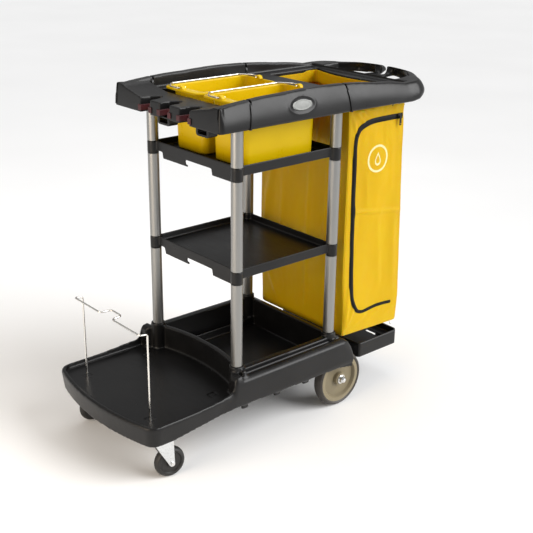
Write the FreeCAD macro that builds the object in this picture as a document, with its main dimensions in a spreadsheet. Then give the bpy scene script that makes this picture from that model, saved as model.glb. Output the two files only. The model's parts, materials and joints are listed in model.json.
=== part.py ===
import FreeCAD, Part
import math
import os
import Sketcher

# Cleaning caddy: a housekeeping cart with a low front deck, a bin well and two trays on four
# stacked tube posts, a handled top frame, two lift-out pails and a zipped waste bag at the back.
# Millimetres. +X runs to the push handle, +Z up, origin on the floor under the middle of the box.

document = FreeCAD.newDocument("cleaning_caddy")
sheet = document.addObject("Spreadsheet::Sheet", "Sizes")

DRIVING_DIMENSIONS = {
    "reach": 658.0,               # deck nose and handle end, from the origin
    "half_width": 276.0,          # outer face of the side skirts and rails
    "deck_bottom": 143.0,
    "deck_floor": 196.0,
    "deck_rim": 213.0,
    "skirt_top": 284.0,
    "plastic_wall": 5.0,
    "post_front": -245.0,
    "post_rear": 167.0,
    "post_side": 219.0,
    "tube_radius": 19.0,
    "tube_wall": 1.6,
    "socket_top": 293.0,
    "middle_collar_low": 574.0,
    "upper_collar_low": 906.0,
    "collar_height": 44.0,
    "fascia_drop": 33.0,
    "fascia_skirt": 21.0,
    "tray_depth": 25.0,
    "frame_bottom": 1071.0,
    "frame_deck": 1117.0,
    "frame_crown": 1161.0,
    "rail_inner": 232.0,
    "frame_front": -351.0,
    "well_front": -229.0,
    "well_rear": 126.0,
    "well_side": 205.0,
    "mouth_front": 245.0,
    "mouth_rear": 438.0,
    "mouth_corner": 478.0,
    "mouth_side": 200.0,
    "pail_pitch": 200.0,
    "pail_centre": -51.0,
    "pail_length": 338.0,
    "pail_width": 184.0,
    "pail_base": 925.3,
    "pail_rim": 1130.0,
    "pail_wall": 2.6,
    "bail_wire": 4.5,
    "rear_wheel_radius": 101.6,
    "rear_wheel_width": 38.0,
    "rear_axle": 210.0,
    "rear_wheel_side": 230.0,
    "axle_radius": 8.0,
    "caster_radius": 50.8,
    "caster_width": 32.0,
    "caster_trail": 36.0,
    "caster_front": -559.0,
    "caster_side": 222.0,
    "bag_front": 235.0,
    "bag_rear": 512.0,
    "bag_side": 218.0,
    "bag_bottom": 240.0,
    "bag_shoulder": 1066.0,
    "bag_top": 1100.0,
    "bag_skin": 3.0,
    "platform_front": 336.0,
    "platform_rear": 546.0,
    "platform_side": 212.0,
    "platform_low": 130.0,
    "platform_rim": 187.0,
    "rack_leg_x": -561.0,
    "rack_leg_side": 185.0,
    "rack_top": 482.0,
    "rack_wire": 6.0,
}

for row, (alias, value) in enumerate(DRIVING_DIMENSIONS.items(), start=1):
    sheet.set(f"A{row}", alias)
    sheet.set(f"B{row}", str(value))
    sheet.setAlias(f"B{row}", alias)
document.recompute()


class Size:
    """A length that carries both its number and its spreadsheet formula."""

    def __init__(self, value, formula):
        self.value = value
        self.formula = formula

    def __add__(self, other):
        return Size(self.value + number(other), f"({self.formula} + {formula(other)})")

    def __radd__(self, other):
        return Size(number(other) + self.value, f"({formula(other)} + {self.formula})")

    def __sub__(self, other):
        return Size(self.value - number(other), f"({self.formula} - {formula(other)})")

    def __rsub__(self, other):
        return Size(number(other) - self.value, f"({formula(other)} - {self.formula})")

    def __mul__(self, other):
        return Size(self.value * number(other), f"({self.formula} * {formula(other)})")

    __rmul__ = __mul__

    def __truediv__(self, other):
        return Size(self.value / number(other), f"({self.formula} / {formula(other)})")

    def __neg__(self):
        return Size(-self.value, f"(0 - {self.formula})")


def number(size):
    return size.value if isinstance(size, Size) else float(size)


def formula(size):
    return size.formula if isinstance(size, Size) else repr(float(size))


def bind(item, **sizes):
    for name, size in sizes.items():
        item.setExpression(name, formula(size))


def cell(alias):
    return Size(float(getattr(sheet, alias)), f"Sizes.{alias}")


reach = cell("reach")
half_width = cell("half_width")
wall = cell("plastic_wall")
post_front = cell("post_front")
post_rear = cell("post_rear")
post_side = cell("post_side")
tube_radius = cell("tube_radius")

kept = {}


def keep(node, item):
    """Names a finished sub-part, so that it is checked and written at the end."""
    item.Label = node
    kept[node] = item
    return item


# ---------------------------------------------------------------- building blocks

TURNS = {
    "Z": FreeCAD.Rotation(),
    "X": FreeCAD.Rotation(FreeCAD.Vector(0, 1, 0), 90),
    "Y": FreeCAD.Rotation(FreeCAD.Vector(1, 0, 0), -90),
}


def place(item, at, along="Z", spin=0.0):
    """Puts an item at a point, its own Z turned to a row axis, then spun about +Z."""
    turn = FreeCAD.Rotation(FreeCAD.Vector(0, 0, 1), spin).multiply(TURNS[along])
    item.Placement = FreeCAD.Placement(FreeCAD.Vector(), turn)
    for axis, size in zip("xyz", at):
        item.setExpression(f".Placement.Base.{axis}", formula(size))
    return item


def block(name, low, high):
    item = document.addObject("Part::Box", name)
    bind(item, Length=high[0] - low[0], Width=high[1] - low[1], Height=high[2] - low[2])
    return place(item, low)


def rod(name, radius, length, at, along="Z", spin=0.0):
    item = document.addObject("Part::Cylinder", name)
    bind(item, Radius=radius, Height=length)
    return place(item, at, along, spin)


def fuse(name, *items, merge_faces=True):
    item = document.addObject("Part::MultiFuse", name)
    item.Shapes = list(items)
    item.Refine = merge_faces
    return item


def cut(name, base, *tools):
    item = document.addObject("Part::Cut", name)
    item.Base = base
    item.Tool = tools[0] if len(tools) == 1 else fuse(f"{name}_tools", *tools)
    return item


def common(name, base, tool):
    item = document.addObject("Part::Common", name)
    item.Base = base
    item.Tool = tool
    return item


def tube(name, radius, thickness, length, at, along="Z"):
    outside = rod(f"{name}_outside", radius, length, at, along)
    inside = rod(f"{name}_inside", radius - thickness, length, at, along)
    return cut(name, outside, inside)


def rounded(name, base, radius, wanted):
    """Fillets the edges of a Part item that the test picks, all to one radius."""
    document.recompute()
    edges = [i for i, edge in enumerate(base.Shape.Edges, start=1) if wanted(edge)]
    item = document.addObject("Part::Fillet", name)
    item.Base = base
    item.Edges = [(i, number(radius), number(radius)) for i in edges]
    return item


def upright(edge):
    """True for a straight edge that runs along Z."""
    if len(edge.Vertexes) != 2:
        return False
    a, b = edge.Vertexes[0].Point, edge.Vertexes[1].Point
    return abs(a.x - b.x) < 0.01 and abs(a.y - b.y) < 0.01 and abs(a.z - b.z) > 1


def role_plane(body, role):
    return next(p for p in body.Origin.OriginFeatures if p.Role == role)


PLANES = {"Z": ("XY_Plane", 1), "X": ("YZ_Plane", 1), "Y": ("XZ_Plane", -1)}


def outline(sketch, points):
    """Draws a closed outline. A point is (x, y), or (x, y, radius) where the side that leads to
    it is an arc: a positive radius turns left along the side, a negative one right."""
    places = [FreeCAD.Vector(number(p[0]), number(p[1]), 0) for p in points]
    sides = []
    for i, point in enumerate(points):
        start, end = places[i - 1], places[i]
        if len(point) == 2:
            sides.append((sketch.addGeometry(Part.LineSegment(start, end), False), 1, 2))
            continue
        radius = number(point[2])
        chord = end - start
        half = chord.Length / 2
        rise = abs(radius) - math.sqrt(max(radius * radius - half * half, 0.0))
        across = FreeCAD.Vector(chord.y, -chord.x, 0).normalize()
        middle = (start + end) * 0.5 + across * math.copysign(rise, radius)
        arc = Part.Arc(start, middle, end)
        index = sketch.addGeometry(arc, False)
        ends = (1, 2) if radius > 0 else (2, 1)
        sides.append((index, *ends))
    for i, (index, _, end) in enumerate(sides):
        following, start, _ = sides[(i + 1) % len(sides)]
        sketch.addConstraint(Sketcher.Constraint("Coincident", index, end, following, start))
        for kind, size in zip(("DistanceX", "DistanceY"), points[i]):
            at = sketch.addConstraint(Sketcher.Constraint(kind, -1, 1, index, end, number(size)))
            sketch.setExpression(f"Constraints[{at}]", formula(size))
        if len(points[i]) == 3:
            size = points[i][2] if number(points[i][2]) > 0 else -points[i][2]
            at = sketch.addConstraint(Sketcher.Constraint("Radius", index, number(size)))
            sketch.setExpression(f"Constraints[{at}]", formula(size))


def sketch_in(body, name, along, start, points):
    """A sketch across one row axis, at that axis's coordinate start."""
    role, sense = PLANES[along]
    sketch = body.newObject("Sketcher::SketchObject", name)
    sketch.AttachmentSupport = (role_plane(body, role), [""])
    sketch.MapMode = "FlatFace"
    sketch.setExpression(".AttachmentOffset.Base.z", formula(start * sense))
    outline(sketch, points)
    return sketch


def pad(name, along, start, length, points, taper=0.0):
    """A PartDesign body: an outline across an axis, padded from start towards plus."""
    body = document.addObject("PartDesign::Body", name)
    sketch = sketch_in(body, f"{name}_outline", along, start, points)
    feature = body.newObject("PartDesign::Pad", f"{name}_pad")
    feature.Profile = sketch
    feature.Reversed = PLANES[along][1] < 0
    feature.TaperAngle = taper
    bind(feature, Length=length)
    return body


def turned(name, points, at, along="Z", spin=0.0):
    """A PartDesign body turned about its own Z from an outline of (radius, height)."""
    body = document.addObject("PartDesign::Body", name)
    sketch = sketch_in(body, f"{name}_outline", "Y", 0.0, points)
    feature = body.newObject("PartDesign::Revolution", f"{name}_turn")
    feature.Profile = sketch
    feature.ReferenceAxis = (sketch, ["V_Axis"])
    feature.Angle = 360
    return place(body, at, along, spin)


def smooth_wire(points, bends):
    """A wire of straight runs joined by tangent arcs, one bend radius for each inner point."""
    edges = []
    start = points[0]
    for before, corner, after, bend in zip(points, points[1:], points[2:], bends):
        back = (before - corner).normalize()
        ahead = (after - corner).normalize()
        half_turn = (math.pi - back.getAngle(ahead)) / 2
        reach_in = bend * math.tan(half_turn)
        first = corner + back * reach_in
        last = corner + ahead * reach_in
        bisector = (back + ahead).normalize()
        middle = corner + bisector * (bend / math.cos(half_turn) - bend)
        edges.append(Part.LineSegment(start, first).toShape())
        edges.append(Part.Arc(first, middle, last).toShape())
        start = last
    edges.append(Part.LineSegment(start, points[-1]).toShape())
    return Part.Wire(edges)


def bent_rod(node, radius, points, bends):
    """A round wire bent along points, kept as a Part::Feature because its path is in space."""
    path = [FreeCAD.Vector(*(number(size) for size in point)) for point in points]
    spine = smooth_wire(path, bends)
    ring = Part.Wire([Part.makeCircle(number(radius), path[0], path[1] - path[0])])
    item = document.addObject("Part::Feature", node)
    item.Shape = spine.makePipeShell([ring], True, True)
    return keep(node, item)


def crown_radius(half_chord, rise):
    """The radius of an arc that rises by rise over a chord of twice half_chord."""
    return (half_chord * half_chord + rise * rise) / (2.0 * rise)


# ---------------------------------------------------------------- moulded base

deck_bottom = cell("deck_bottom")
deck_floor = cell("deck_floor")
deck_rim = cell("deck_rim")
skirt_top = cell("skirt_top")
socket_top = cell("socket_top")
rear_axle = cell("rear_axle")
platform_low = cell("platform_low")
nose_radius = 900.0
nose_side = 245.0
WALL_BOW = 31.0
base_rear = post_rear + 78.0
skirt_front = post_front - 43.0


def base_plan(inset):
    """The base seen from above: a bowed nose, straight flanks and a square back."""
    nose = -reach + 34.0 + inset * 0.8
    flank = half_width - inset
    corner = nose_side - inset
    return [
        (nose, -corner),
        (nose + 40.0, -flank, nose_radius / 20.0),
        (base_rear - inset, -flank),
        (base_rear - inset, flank),
        (nose + 40.0, flank),
        (nose, corner, nose_radius / 20.0),
    ]


def bowed_front(points, radius):
    """Turns the closing side of an outline into an arc that bows towards the nose."""
    first = points[0]
    return [(first[0], first[1], radius)] + points[1:]


def base_deck():
    plan = pad("base_block", "Z", platform_low, 160.0, bowed_front(base_plan(0.0), nose_radius))
    side = pad("base_side", "Y", -half_width - 1.0, 2.0 * half_width + 2.0, [
        (-reach - 1.0, deck_bottom),
        (-reach + 130.0, deck_bottom),
        (skirt_front, deck_bottom + 30.0),
        (rear_axle - 40.0, deck_bottom + 21.0),
        (base_rear + 1.0, deck_bottom + 8.0),
        (base_rear + 1.0, skirt_top - 70.0),
        (base_rear - 9.0, skirt_top - 50.0),
        (base_rear - 26.0, skirt_top - 30.0),
        (base_rear - 47.0, skirt_top - 14.0),
        (post_rear, skirt_top - 6.0),
        (post_front + 6.0, skirt_top - 4.0),
        (skirt_front + 8.0, skirt_top - 10.0),
        (skirt_front - 1.0, skirt_top - 22.0),
        (skirt_front - 8.0, deck_rim + 20.0),
        (skirt_front - 24.0, deck_rim + 11.0),
        (skirt_front - 114.0, deck_rim + 4.0),
        (-reach + 156.0, deck_rim),
        (-reach - 1.0, deck_rim),
    ])
    shell = common("base_shell", plan, side)
    recess_rear = post_front + 6.0
    recess = pad("deck_recess", "Z", deck_floor, 200.0, [
        (-reach + 45.0, -nose_side + 14.0, nose_radius),
        (-reach + 82.0, -half_width + 9.0, nose_radius / 20.0),
        (skirt_front, -half_width + 9.0),
        (skirt_front, -half_width + 38.0),
        (recess_rear, -half_width + 78.0),
        (recess_rear, half_width - 78.0, crown_radius(half_width.value - 78.0, WALL_BOW)),
        (skirt_front, half_width - 38.0),
        (skirt_front, half_width - 9.0),
        (-reach + 82.0, half_width - 9.0),
        (-reach + 45.0, nose_side - 14.0, nose_radius / 20.0),
    ])
    well = pad("bin_well", "Z", deck_bottom + 34.0, skirt_top - deck_bottom + 6.0, bowed_front([
        (post_front + 18.0, -post_side + 6.0),
        (post_rear + 8.0, -post_side + 6.0),
        (post_rear + 8.0, post_side - 6.0),
        (post_front + 18.0, post_side - 6.0),
    ], -crown_radius(post_side.value - 6.0, WALL_BOW + 4.0)))
    step = []
    for side_name, sign in (("left", 1.0), ("right", -1.0)):
        section = [
            (sign * (post_side + 18.0), skirt_top + 40.0), (sign * (post_side + 18.0), skirt_top - 26.0),
            (sign * (post_side + 27.0), skirt_top - 26.0), (sign * (post_side + 30.0), skirt_top - 16.0),
            (sign * (post_side + 44.0), skirt_top - 18.0), (sign * (half_width + 1.0), skirt_top - 28.0),
            (sign * (half_width + 1.0), skirt_top + 40.0),
        ]
        step.append(pad(
            f"rim_step_{side_name}", "X", post_front - 14.0, base_rear - post_front + 16.0,
            section if sign > 0 else section[::-1],
        ))
    under_deck = pad("under_deck", "Z", deck_bottom - 20.0, deck_floor - deck_bottom + 20.0 - wall, [
        (-reach + 48.0, -nose_side + 20.0, nose_radius),
        (-reach + 84.0, -half_width + 14.0, nose_radius / 20.0),
        (post_front + 20.0, -half_width + 14.0),
        (post_front + 20.0, half_width - 14.0),
        (-reach + 84.0, half_width - 14.0),
        (-reach + 48.0, nose_side - 20.0, nose_radius / 20.0),
    ])
    wheel_gap = cell("rear_wheel_radius") + 8.0
    arches = [
        rod(
            f"wheel_arch_{side_name}", wheel_gap, half_width - wall - 199.0,
            (rear_axle, low, cell("rear_wheel_radius")), "Y",
        )
        for side_name, low in (("left", 199.0), ("right", -half_width + wall))
    ]
    axle_tunnel = rod(
        "axle_tunnel", cell("axle_radius") + 0.05, 420.0,
        (rear_axle, -210.0, cell("rear_wheel_radius")), "Y",
    )
    bearers = [
        block(
            f"axle_bearer_{side_name}",
            (rear_axle - 22.0, low, cell("rear_wheel_radius") - 20.0),
            (rear_axle + 22.0, low + 12.0, deck_bottom + 40.0),
        )
        for side_name, low in (("left", 183.0), ("right", -195.0))
    ]
    skirt_hollows = [
        block(
            f"skirt_hollow_{side_name}",
            (post_front + 20.0, low, deck_bottom - 10.0),
            (base_rear - 44.0, low + 53.0, skirt_top - 33.0 - wall),
        )
        for side_name, low in (("left", 218.0), ("right", -half_width + wall))
    ]
    lugs = [
        block(
            f"skirt_lug_{side_name}_{i}",
            (post_front + offset - 13.0, low, deck_bottom + 11.0),
            (post_front + offset + 13.0, low + 12.0, deck_bottom + 34.0),
        )
        for side_name, low in (("left", half_width - 16.0), ("right", -half_width + 4.0))
        for i, offset in enumerate((-2.0, 138.0, 267.0), start=1)
    ]
    floor_pan = block(
        "well_pan",
        (post_front + 44.0, -195.0, deck_bottom + 22.0),
        (base_rear, 195.0, deck_bottom + 60.0),
    )
    sockets = [
        rod(f"rim_boss_{side_name}", 9.0, 60.0, (post_front + 2.0, y, skirt_top - 60.0))
        for side_name, y in (("left", post_side + 39.0), ("right", -post_side - 39.0))
    ]
    holes = []
    for x_name, x in (("front", post_front), ("rear", post_rear)):
        for y_name, y in (("left", post_side), ("right", -post_side)):
            tag = f"{x_name}_{y_name}"
            sockets.append(rod(f"socket_{tag}", 25.0, socket_top - 170.0, (x, y, 170.0)))
            holes.append(rod(f"socket_hole_{tag}", tube_radius - 3.0, 70.0, (x, y, socket_top - 60.0)))
    caster_bosses = [
        rod(
            f"caster_boss_{name}", 32.0, deck_floor - deck_bottom - 2.0,
            (cell("caster_front"), side, deck_bottom),
        )
        for name, side in (("left", cell("caster_side")), ("right", -cell("caster_side")))
    ]
    stem_holes = [
        rod(f"stem_hole_{name}", 6.0, 26.0, (cell("caster_front"), side, deck_bottom - 1.0))
        for name, side in (("left", cell("caster_side")), ("right", -cell("caster_side")))
    ]
    leg_holes = [
        rod(f"leg_hole_{i}", cell("rack_wire") / 2.0 + 0.05, 60.0, (x, y, deck_floor - 22.0))
        for i, (x, y) in enumerate(rack_sockets(), start=1)
    ]
    leg_bosses = [
        rod(f"leg_boss_{i}", 11.0, 31.0, (x, y, deck_floor - 30.0))
        for i, (x, y) in enumerate(rack_sockets(), start=1)
    ]
    hollow = cut("base_hollow", shell, recess, well, under_deck, *skirt_hollows, *step)
    posted = fuse("base_posted", hollow, *sockets, merge_faces=False)
    braced = fuse(
        "base_braced", posted, *caster_bosses, *bearers, floor_pan, merge_faces=False,
    )
    filled = fuse("base_filled", braced, *leg_bosses, *lugs)
    lower_well = block(
        "lower_well",
        (post_front + 50.0, -190.0, deck_bottom + 28.0),
        (post_rear + 8.0, 190.0, skirt_top),
    )
    keep("base_deck", cut(
        "base_deck", filled, lower_well, axle_tunnel, *arches, *holes, *stem_holes, *leg_holes,
    ))


def rack_sockets():
    """The four holes in the deck that take the wire rack's legs, the front pair first."""
    leg_x = cell("rack_leg_x")
    side = cell("rack_leg_side")
    back_x = leg_x + 244.0
    return [(leg_x, side), (leg_x, -side), (back_x, side), (back_x, -side)]


base_deck()

# ---------------------------------------------------------------- posts and trays

collar_height = cell("collar_height")
middle_collar = cell("middle_collar_low")
upper_collar = cell("upper_collar_low")
frame_bottom = cell("frame_bottom")
TIERS = {
    "lower": (socket_top, middle_collar),
    "middle": (middle_collar + collar_height, upper_collar),
    "upper": (upper_collar + collar_height, frame_bottom),
}

for x_name, x in (("front", post_front), ("rear", post_rear)):
    for y_name, y in (("left", post_side), ("right", -post_side)):
        for tier, (low, high) in TIERS.items():
            node = f"post_tube_{tier}_{x_name}_{y_name}"
            keep(node, tube(node, tube_radius, cell("tube_wall"), high - low, (x, y, low)))


def tray(node, low):
    """A shallow tray with a collar at each corner and a stepped fascia across its front."""
    top = low + collar_height
    bottom = top - cell("fascia_drop")
    deep = bottom - cell("fascia_skirt")
    skin = 4.0
    body = block(f"{node}_body", (post_front, -post_side, bottom), (post_rear, post_side, top))
    inside = block(
        f"{node}_inside",
        (post_front + skin, -post_side + skin, top - cell("tray_depth")),
        (post_rear - skin, post_side - skin, top + 1.0),
    )
    underside = block(
        f"{node}_underside",
        (post_front + skin, -post_side + skin, bottom - 1.0),
        (post_rear - skin, post_side - skin, top - cell("tray_depth") - skin),
    )
    aprons = [
        pad(f"{node}_apron_right", "X", post_front, skin, [
            (-post_side + 21.0, deep + 3.0), (-post_side + 30.0, deep), (-96.0, deep),
            (-91.0, bottom), (-91.0, bottom + 1.0), (-post_side + 21.0, bottom + 1.0),
        ]),
        pad(f"{node}_apron_left", "X", post_front, skin, [
            (30.0, deep), (164.0, deep), (170.0, bottom), (170.0, bottom + 1.0),
            (41.0, bottom + 1.0), (41.0, deep + 8.0), (30.0, deep + 8.0),
        ]),
        pad(f"{node}_apron_rear", "X", post_rear - skin, skin, [
            (-post_side + 40.0, deep + 6.0), (-post_side + 84.0, deep + 6.0),
            (-post_side + 96.0, bottom + 1.0), (-post_side + 30.0, bottom + 1.0),
        ]),
        pad(f"{node}_apron_rear_left", "X", post_rear - skin, skin, [
            (post_side - 84.0, deep + 6.0), (post_side - 40.0, deep + 6.0),
            (post_side - 30.0, bottom + 1.0), (post_side - 96.0, bottom + 1.0),
        ]),
    ]
    ribs = [
        block(
            f"{node}_rib_{i}",
            (post_front + skin, y - 1.5, bottom),
            (post_rear - skin, y + 1.5, top - cell("tray_depth") - 2.0),
        )
        for i, y in enumerate((-130.0, -43.0, 43.0, 130.0), start=1)
    ]
    collars = []
    bores = []
    for x_name, x in (("front", post_front), ("rear", post_rear)):
        for y_name, y in (("left", post_side), ("right", -post_side)):
            tag = f"{node}_{x_name}_{y_name}"
            collars.append(rod(f"collar_{tag}", tube_radius + 0.4, collar_height, (x, y, low)))
            bores.append(rod(f"collar_bore_{tag}", tube_radius - 5.0, collar_height + 2.0, (x, y, low - 1.0)))
    pan = cut(f"{node}_pan", body, inside, underside)
    keep(node, cut(node, fuse(f"{node}_whole", pan, *aprons, *ribs, *collars), *bores))


tray("middle_shelf", middle_collar)
tray("upper_shelf", upper_collar)

# ---------------------------------------------------------------- top frame

frame_front = cell("frame_front")
frame_deck = cell("frame_deck")
frame_crown = cell("frame_crown")
rail_inner = cell("rail_inner")
well_front = cell("well_front")
well_rear = cell("well_rear")
well_side = cell("well_side")
mouth_front = cell("mouth_front")
mouth_rear = cell("mouth_rear")
mouth_corner = cell("mouth_corner")
mouth_side = cell("mouth_side")
slot_pitch = 101.0
slot_depth = 66.0
SLOT_SIDES = {"left": slot_pitch, "centre": 0.0, "right": -slot_pitch}
mouth_bow = crown_radius(mouth_side, mouth_corner - mouth_rear)


def mouth_outline(inset):
    """The bag's opening, its back edge bowed forward where the handle's web meets it."""
    side = mouth_side - inset
    back = mouth_corner - inset
    return [
        (mouth_front + inset, -side),
        (back, -side),
        (back, side, -(mouth_bow + inset)),
        (mouth_front + inset, side),
    ]


def top_frame():
    side = half_width + 2.0
    plan = pad("frame_plan", "Z", frame_bottom - 10.0, 110.0, [
        (frame_front, -side + 10.0),
        (frame_front + 10.0, -side),
        (reach - 151.0, -side),
        (reach - 86.0, -side + 42.0, 95.0),
        (reach - 38.0, -side + 118.0),
        (reach, -40.0, 210.0),
        (reach, 40.0),
        (reach - 38.0, side - 118.0, 210.0),
        (reach - 86.0, side - 42.0),
        (reach - 151.0, side, 95.0),
        (frame_front + 10.0, side),
        (frame_front, side - 10.0),
    ])
    profile = pad("frame_profile", "Y", -side - 1.0, 2.0 * side + 2.0, [
        (frame_front - 1.0, frame_bottom),
        (post_rear + 30.0, frame_bottom),
        (reach - 190.0, frame_bottom - 4.0),
        (reach - 148.0, frame_bottom - 2.0),
        (reach - 98.0, frame_bottom + 9.0),
        (reach - 58.0, frame_bottom + 22.0),
        (reach + 1.0, frame_bottom + 35.0),
        (reach + 1.0, frame_deck + 12.0),
        (reach - 60.0, frame_deck + 16.0),
        (reach - 200.0, frame_deck + 12.0),
        (314.0, frame_crown - 16.0, 1500.0),
        (-88.0, frame_crown - 3.0, 2300.0),
        (-334.0, frame_crown - 17.0, 2300.0),
        (frame_front - 1.0, frame_crown - 18.0),
    ])
    shell = common("frame_shell", plan, profile)
    above_deck = block(
        "above_deck", (frame_front - 5.0, -rail_inner, frame_deck),
        (mouth_corner + 6.0, rail_inner, frame_crown + 20.0),
    )
    above_handle = block(
        "above_handle", (mouth_corner, -rail_inner + 30.0, frame_deck + 14.0),
        (reach + 5.0, rail_inner - 30.0, frame_crown + 20.0),
    )
    pail_well = rounded("pail_well", block(
        "pail_well_block", (well_front, -well_side, frame_bottom - 20.0),
        (well_rear, well_side, frame_crown + 20.0),
    ), 30.0, upright)
    mouth = pad("bag_mouth", "Z", frame_bottom - 20.0, 140.0, mouth_outline(0.0))
    openings = [pail_well, mouth]
    for name, y in SLOT_SIDES.items():
        openings.append(pad(f"tool_slot_{name}", "Z", frame_bottom - 20.0, 120.0, [
            (frame_front - 5.0, y - 25.0),
            (frame_front + 38.0, y - 22.0),
            (frame_front + slot_depth, y - 5.0),
            (frame_front + slot_depth, y + 5.0),
            (frame_front + 38.0, y + 22.0),
            (frame_front - 5.0, y + 25.0),
        ]))
    for name, sign in (("left", 1.0), ("right", -1.0)):
        rim = [
            (reach - 123.0, sign * 62.0), (reach - 40.0, sign * 36.0), (reach - 30.0, sign * 44.0),
            (reach - 39.0, sign * 84.0), (reach - 52.0, sign * 120.0), (reach - 78.0, sign * 148.0),
            (reach - 98.0, sign * 168.0), (reach - 112.0, sign * 172.0), (reach - 121.0, sign * 158.0),
        ]
        openings.append(pad(
            f"hand_hole_{name}", "Z", frame_bottom - 20.0, 120.0, rim if sign > 0 else rim[::-1],
        ))
    sunken_plan = pad("sunken_plan", "Z", frame_deck - 16.0, 40.0, [
        (mouth_corner + 8.0, -178.0), (reach - 96.0, -172.0), (reach - 46.0, -118.0),
        (reach - 34.0, -74.0), (reach - 28.0, -20.0), (reach - 28.0, 20.0), (reach - 34.0, 74.0),
        (reach - 46.0, 118.0), (reach - 96.0, 172.0), (mouth_corner + 8.0, 178.0),
    ])
    sunken_side = pad("sunken_side", "Y", -190.0, 380.0, [
        (mouth_corner + 6.0, frame_deck + 3.0), (reach - 122.0, frame_deck - 12.0),
        (reach - 44.0, frame_deck - 12.0), (reach - 26.0, frame_deck + 20.0),
        (mouth_corner + 6.0, frame_deck + 20.0),
    ])
    openings.append(common("sunken_web", sunken_plan, sunken_side))
    openings.append(pad("handle_notch", "Z", frame_bottom - 20.0, 120.0, [
        (reach - 62.0, -8.0, 8.5), (reach + 5.0, -15.0), (reach + 5.0, 15.0), (reach - 62.0, 8.0),
    ]))
    openings.append(block(
        "under_handle", (reach - 117.0, -168.0, frame_bottom - 20.0),
        (reach + 5.0, 168.0, frame_bottom + 27.0),
    ))
    hollow_top = frame_deck - wall
    hollow_low = frame_bottom - 20.0
    hollows = [
        block("beam_hollow", (well_rear + wall, -well_side, hollow_low),
              (mouth_front - wall, well_side, hollow_top)),
        block("panel_hollow", (frame_front + slot_depth + wall, -well_side, hollow_low),
              (well_front - wall, well_side, hollow_top)),
    ]
    for name, inner, outer in (
        ("left", well_side + wall, half_width - wall + 2.0),
        ("right", -half_width + wall - 2.0, -well_side - wall),
    ):
        hollows.append(block(
            f"strip_hollow_{name}", (frame_front + wall, inner, hollow_low),
            (mouth_corner - 20.0, outer, hollow_top),
        ))
        rail_low = rail_inner + wall if name == "left" else inner
        rail_high = outer if name == "left" else -rail_inner - wall
        hollows.append(block(
            f"rail_hollow_{name}", (frame_front + 50.0, rail_low, hollow_low),
            (mouth_corner - 160.0, rail_high, frame_crown - 22.0),
        ))
    hollow_frame = cut("frame_hollow", shell, above_deck, above_handle, *hollows)
    stems = []
    bores = []
    for x_name, x in (("front", post_front), ("rear", post_rear)):
        for y_name, y in (("left", post_side), ("right", -post_side)):
            tag = f"{x_name}_{y_name}"
            stems.append(rod(f"frame_stem_{tag}", tube_radius + 4.0, 43.0, (x, y, frame_bottom)))
            bores.append(rod(f"frame_bore_{tag}", tube_radius - 4.0, 34.0, (x, y, frame_bottom - 4.0)))
    ramps = []
    for name, sign in (("left", 1.0), ("right", -1.0)):
        section = [
            (sign * 120.0, frame_deck - 5.0), (sign * (rail_inner + 2.0), frame_deck - 5.0),
            (sign * (rail_inner + 2.0), frame_crown - 18.0), (sign * (rail_inner - 17.0), frame_deck + 19.0),
            (sign * 125.0, frame_deck + 0.5),
        ]
        ramps.append(pad(
            f"front_ramp_{name}", "X", frame_front, 109.0, section if sign > 0 else section[::-1],
        ))
    stiffened = fuse("frame_stiffened", hollow_frame, *stems, *ramps)
    keep("top_frame", cut("top_frame", stiffened, *openings, *bores))


top_frame()

GRIP_DEPTH = 34.0

for name, y in SLOT_SIDES.items():
    lip = frame_front - 3.0
    face = frame_front - 0.1
    back = frame_front + GRIP_DEPTH
    keep(f"tool_grip_{name}", pad(f"tool_grip_{name}", "Z", frame_bottom + 6.0, 18.0, [
        (lip, y + 36.0), (lip, y + 20.0), (back - 5.0, y + 17.0), (back - 5.0, y - 17.0),
        (lip, y - 20.0), (lip, y - 36.0), (face, y - 36.0), (face, y - 24.6),
        (back, y - 22.1), (back, y + 22.1), (face, y + 24.6), (face, y + 36.0),
    ]))

for name, y in (("left", 30.0), ("right", -165.0)):
    plate = block(
        f"hook_plate_{name}", (frame_front + 18.0, y - 31.0, frame_bottom - 27.0),
        (frame_front + 52.0, y + 31.0, frame_bottom),
    )
    eye = block(
        f"hook_eye_{name}", (frame_front + 10.0, y - 21.0, frame_bottom - 20.0),
        (frame_front + 60.0, y + 21.0, frame_bottom - 5.0),
    )
    softened = rounded(
        f"hook_form_{name}", plate, 9.0,
        lambda edge: edge.CenterOfMass.z < number(frame_bottom) - 26.0 and edge.Length < 40.0,
    )
    keep(f"utility_hook_{name}", cut(f"utility_hook_{name}", softened, eye))

BADGE_X = -34.0
BADGE_Z = 1119.0


def badge_outline(end_x, end_z, end_radius, flank_radius):
    """An oval of four arcs, its joints at plus and minus end_x and end_z from its middle."""
    return [
        (BADGE_X - end_x, BADGE_Z - end_z, end_radius),
        (BADGE_X + end_x, BADGE_Z - end_z, flank_radius),
        (BADGE_X + end_x, BADGE_Z + end_z, end_radius),
        (BADGE_X - end_x, BADGE_Z + end_z, flank_radius),
    ]


for name, low in (("left", half_width + 2.0), ("right", -half_width - 4.0)):
    keep(f"side_badge_{name}", pad(
        f"side_badge_{name}", "Y", low, 2.0, badge_outline(33.85, 9.23, 10.0, 88.0),
    ))

# ---------------------------------------------------------------- lift-out pails and bails

pail_rim = cell("pail_rim")
pail_base = cell("pail_base")
pail_length = cell("pail_length")
pail_width = cell("pail_width")
pail_centre = cell("pail_centre")
pail_wall = cell("pail_wall")
PAIL_TAPER = 1.6
BODY_SHIFT = 15.0
EAR_SIDE = 14.0


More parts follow.
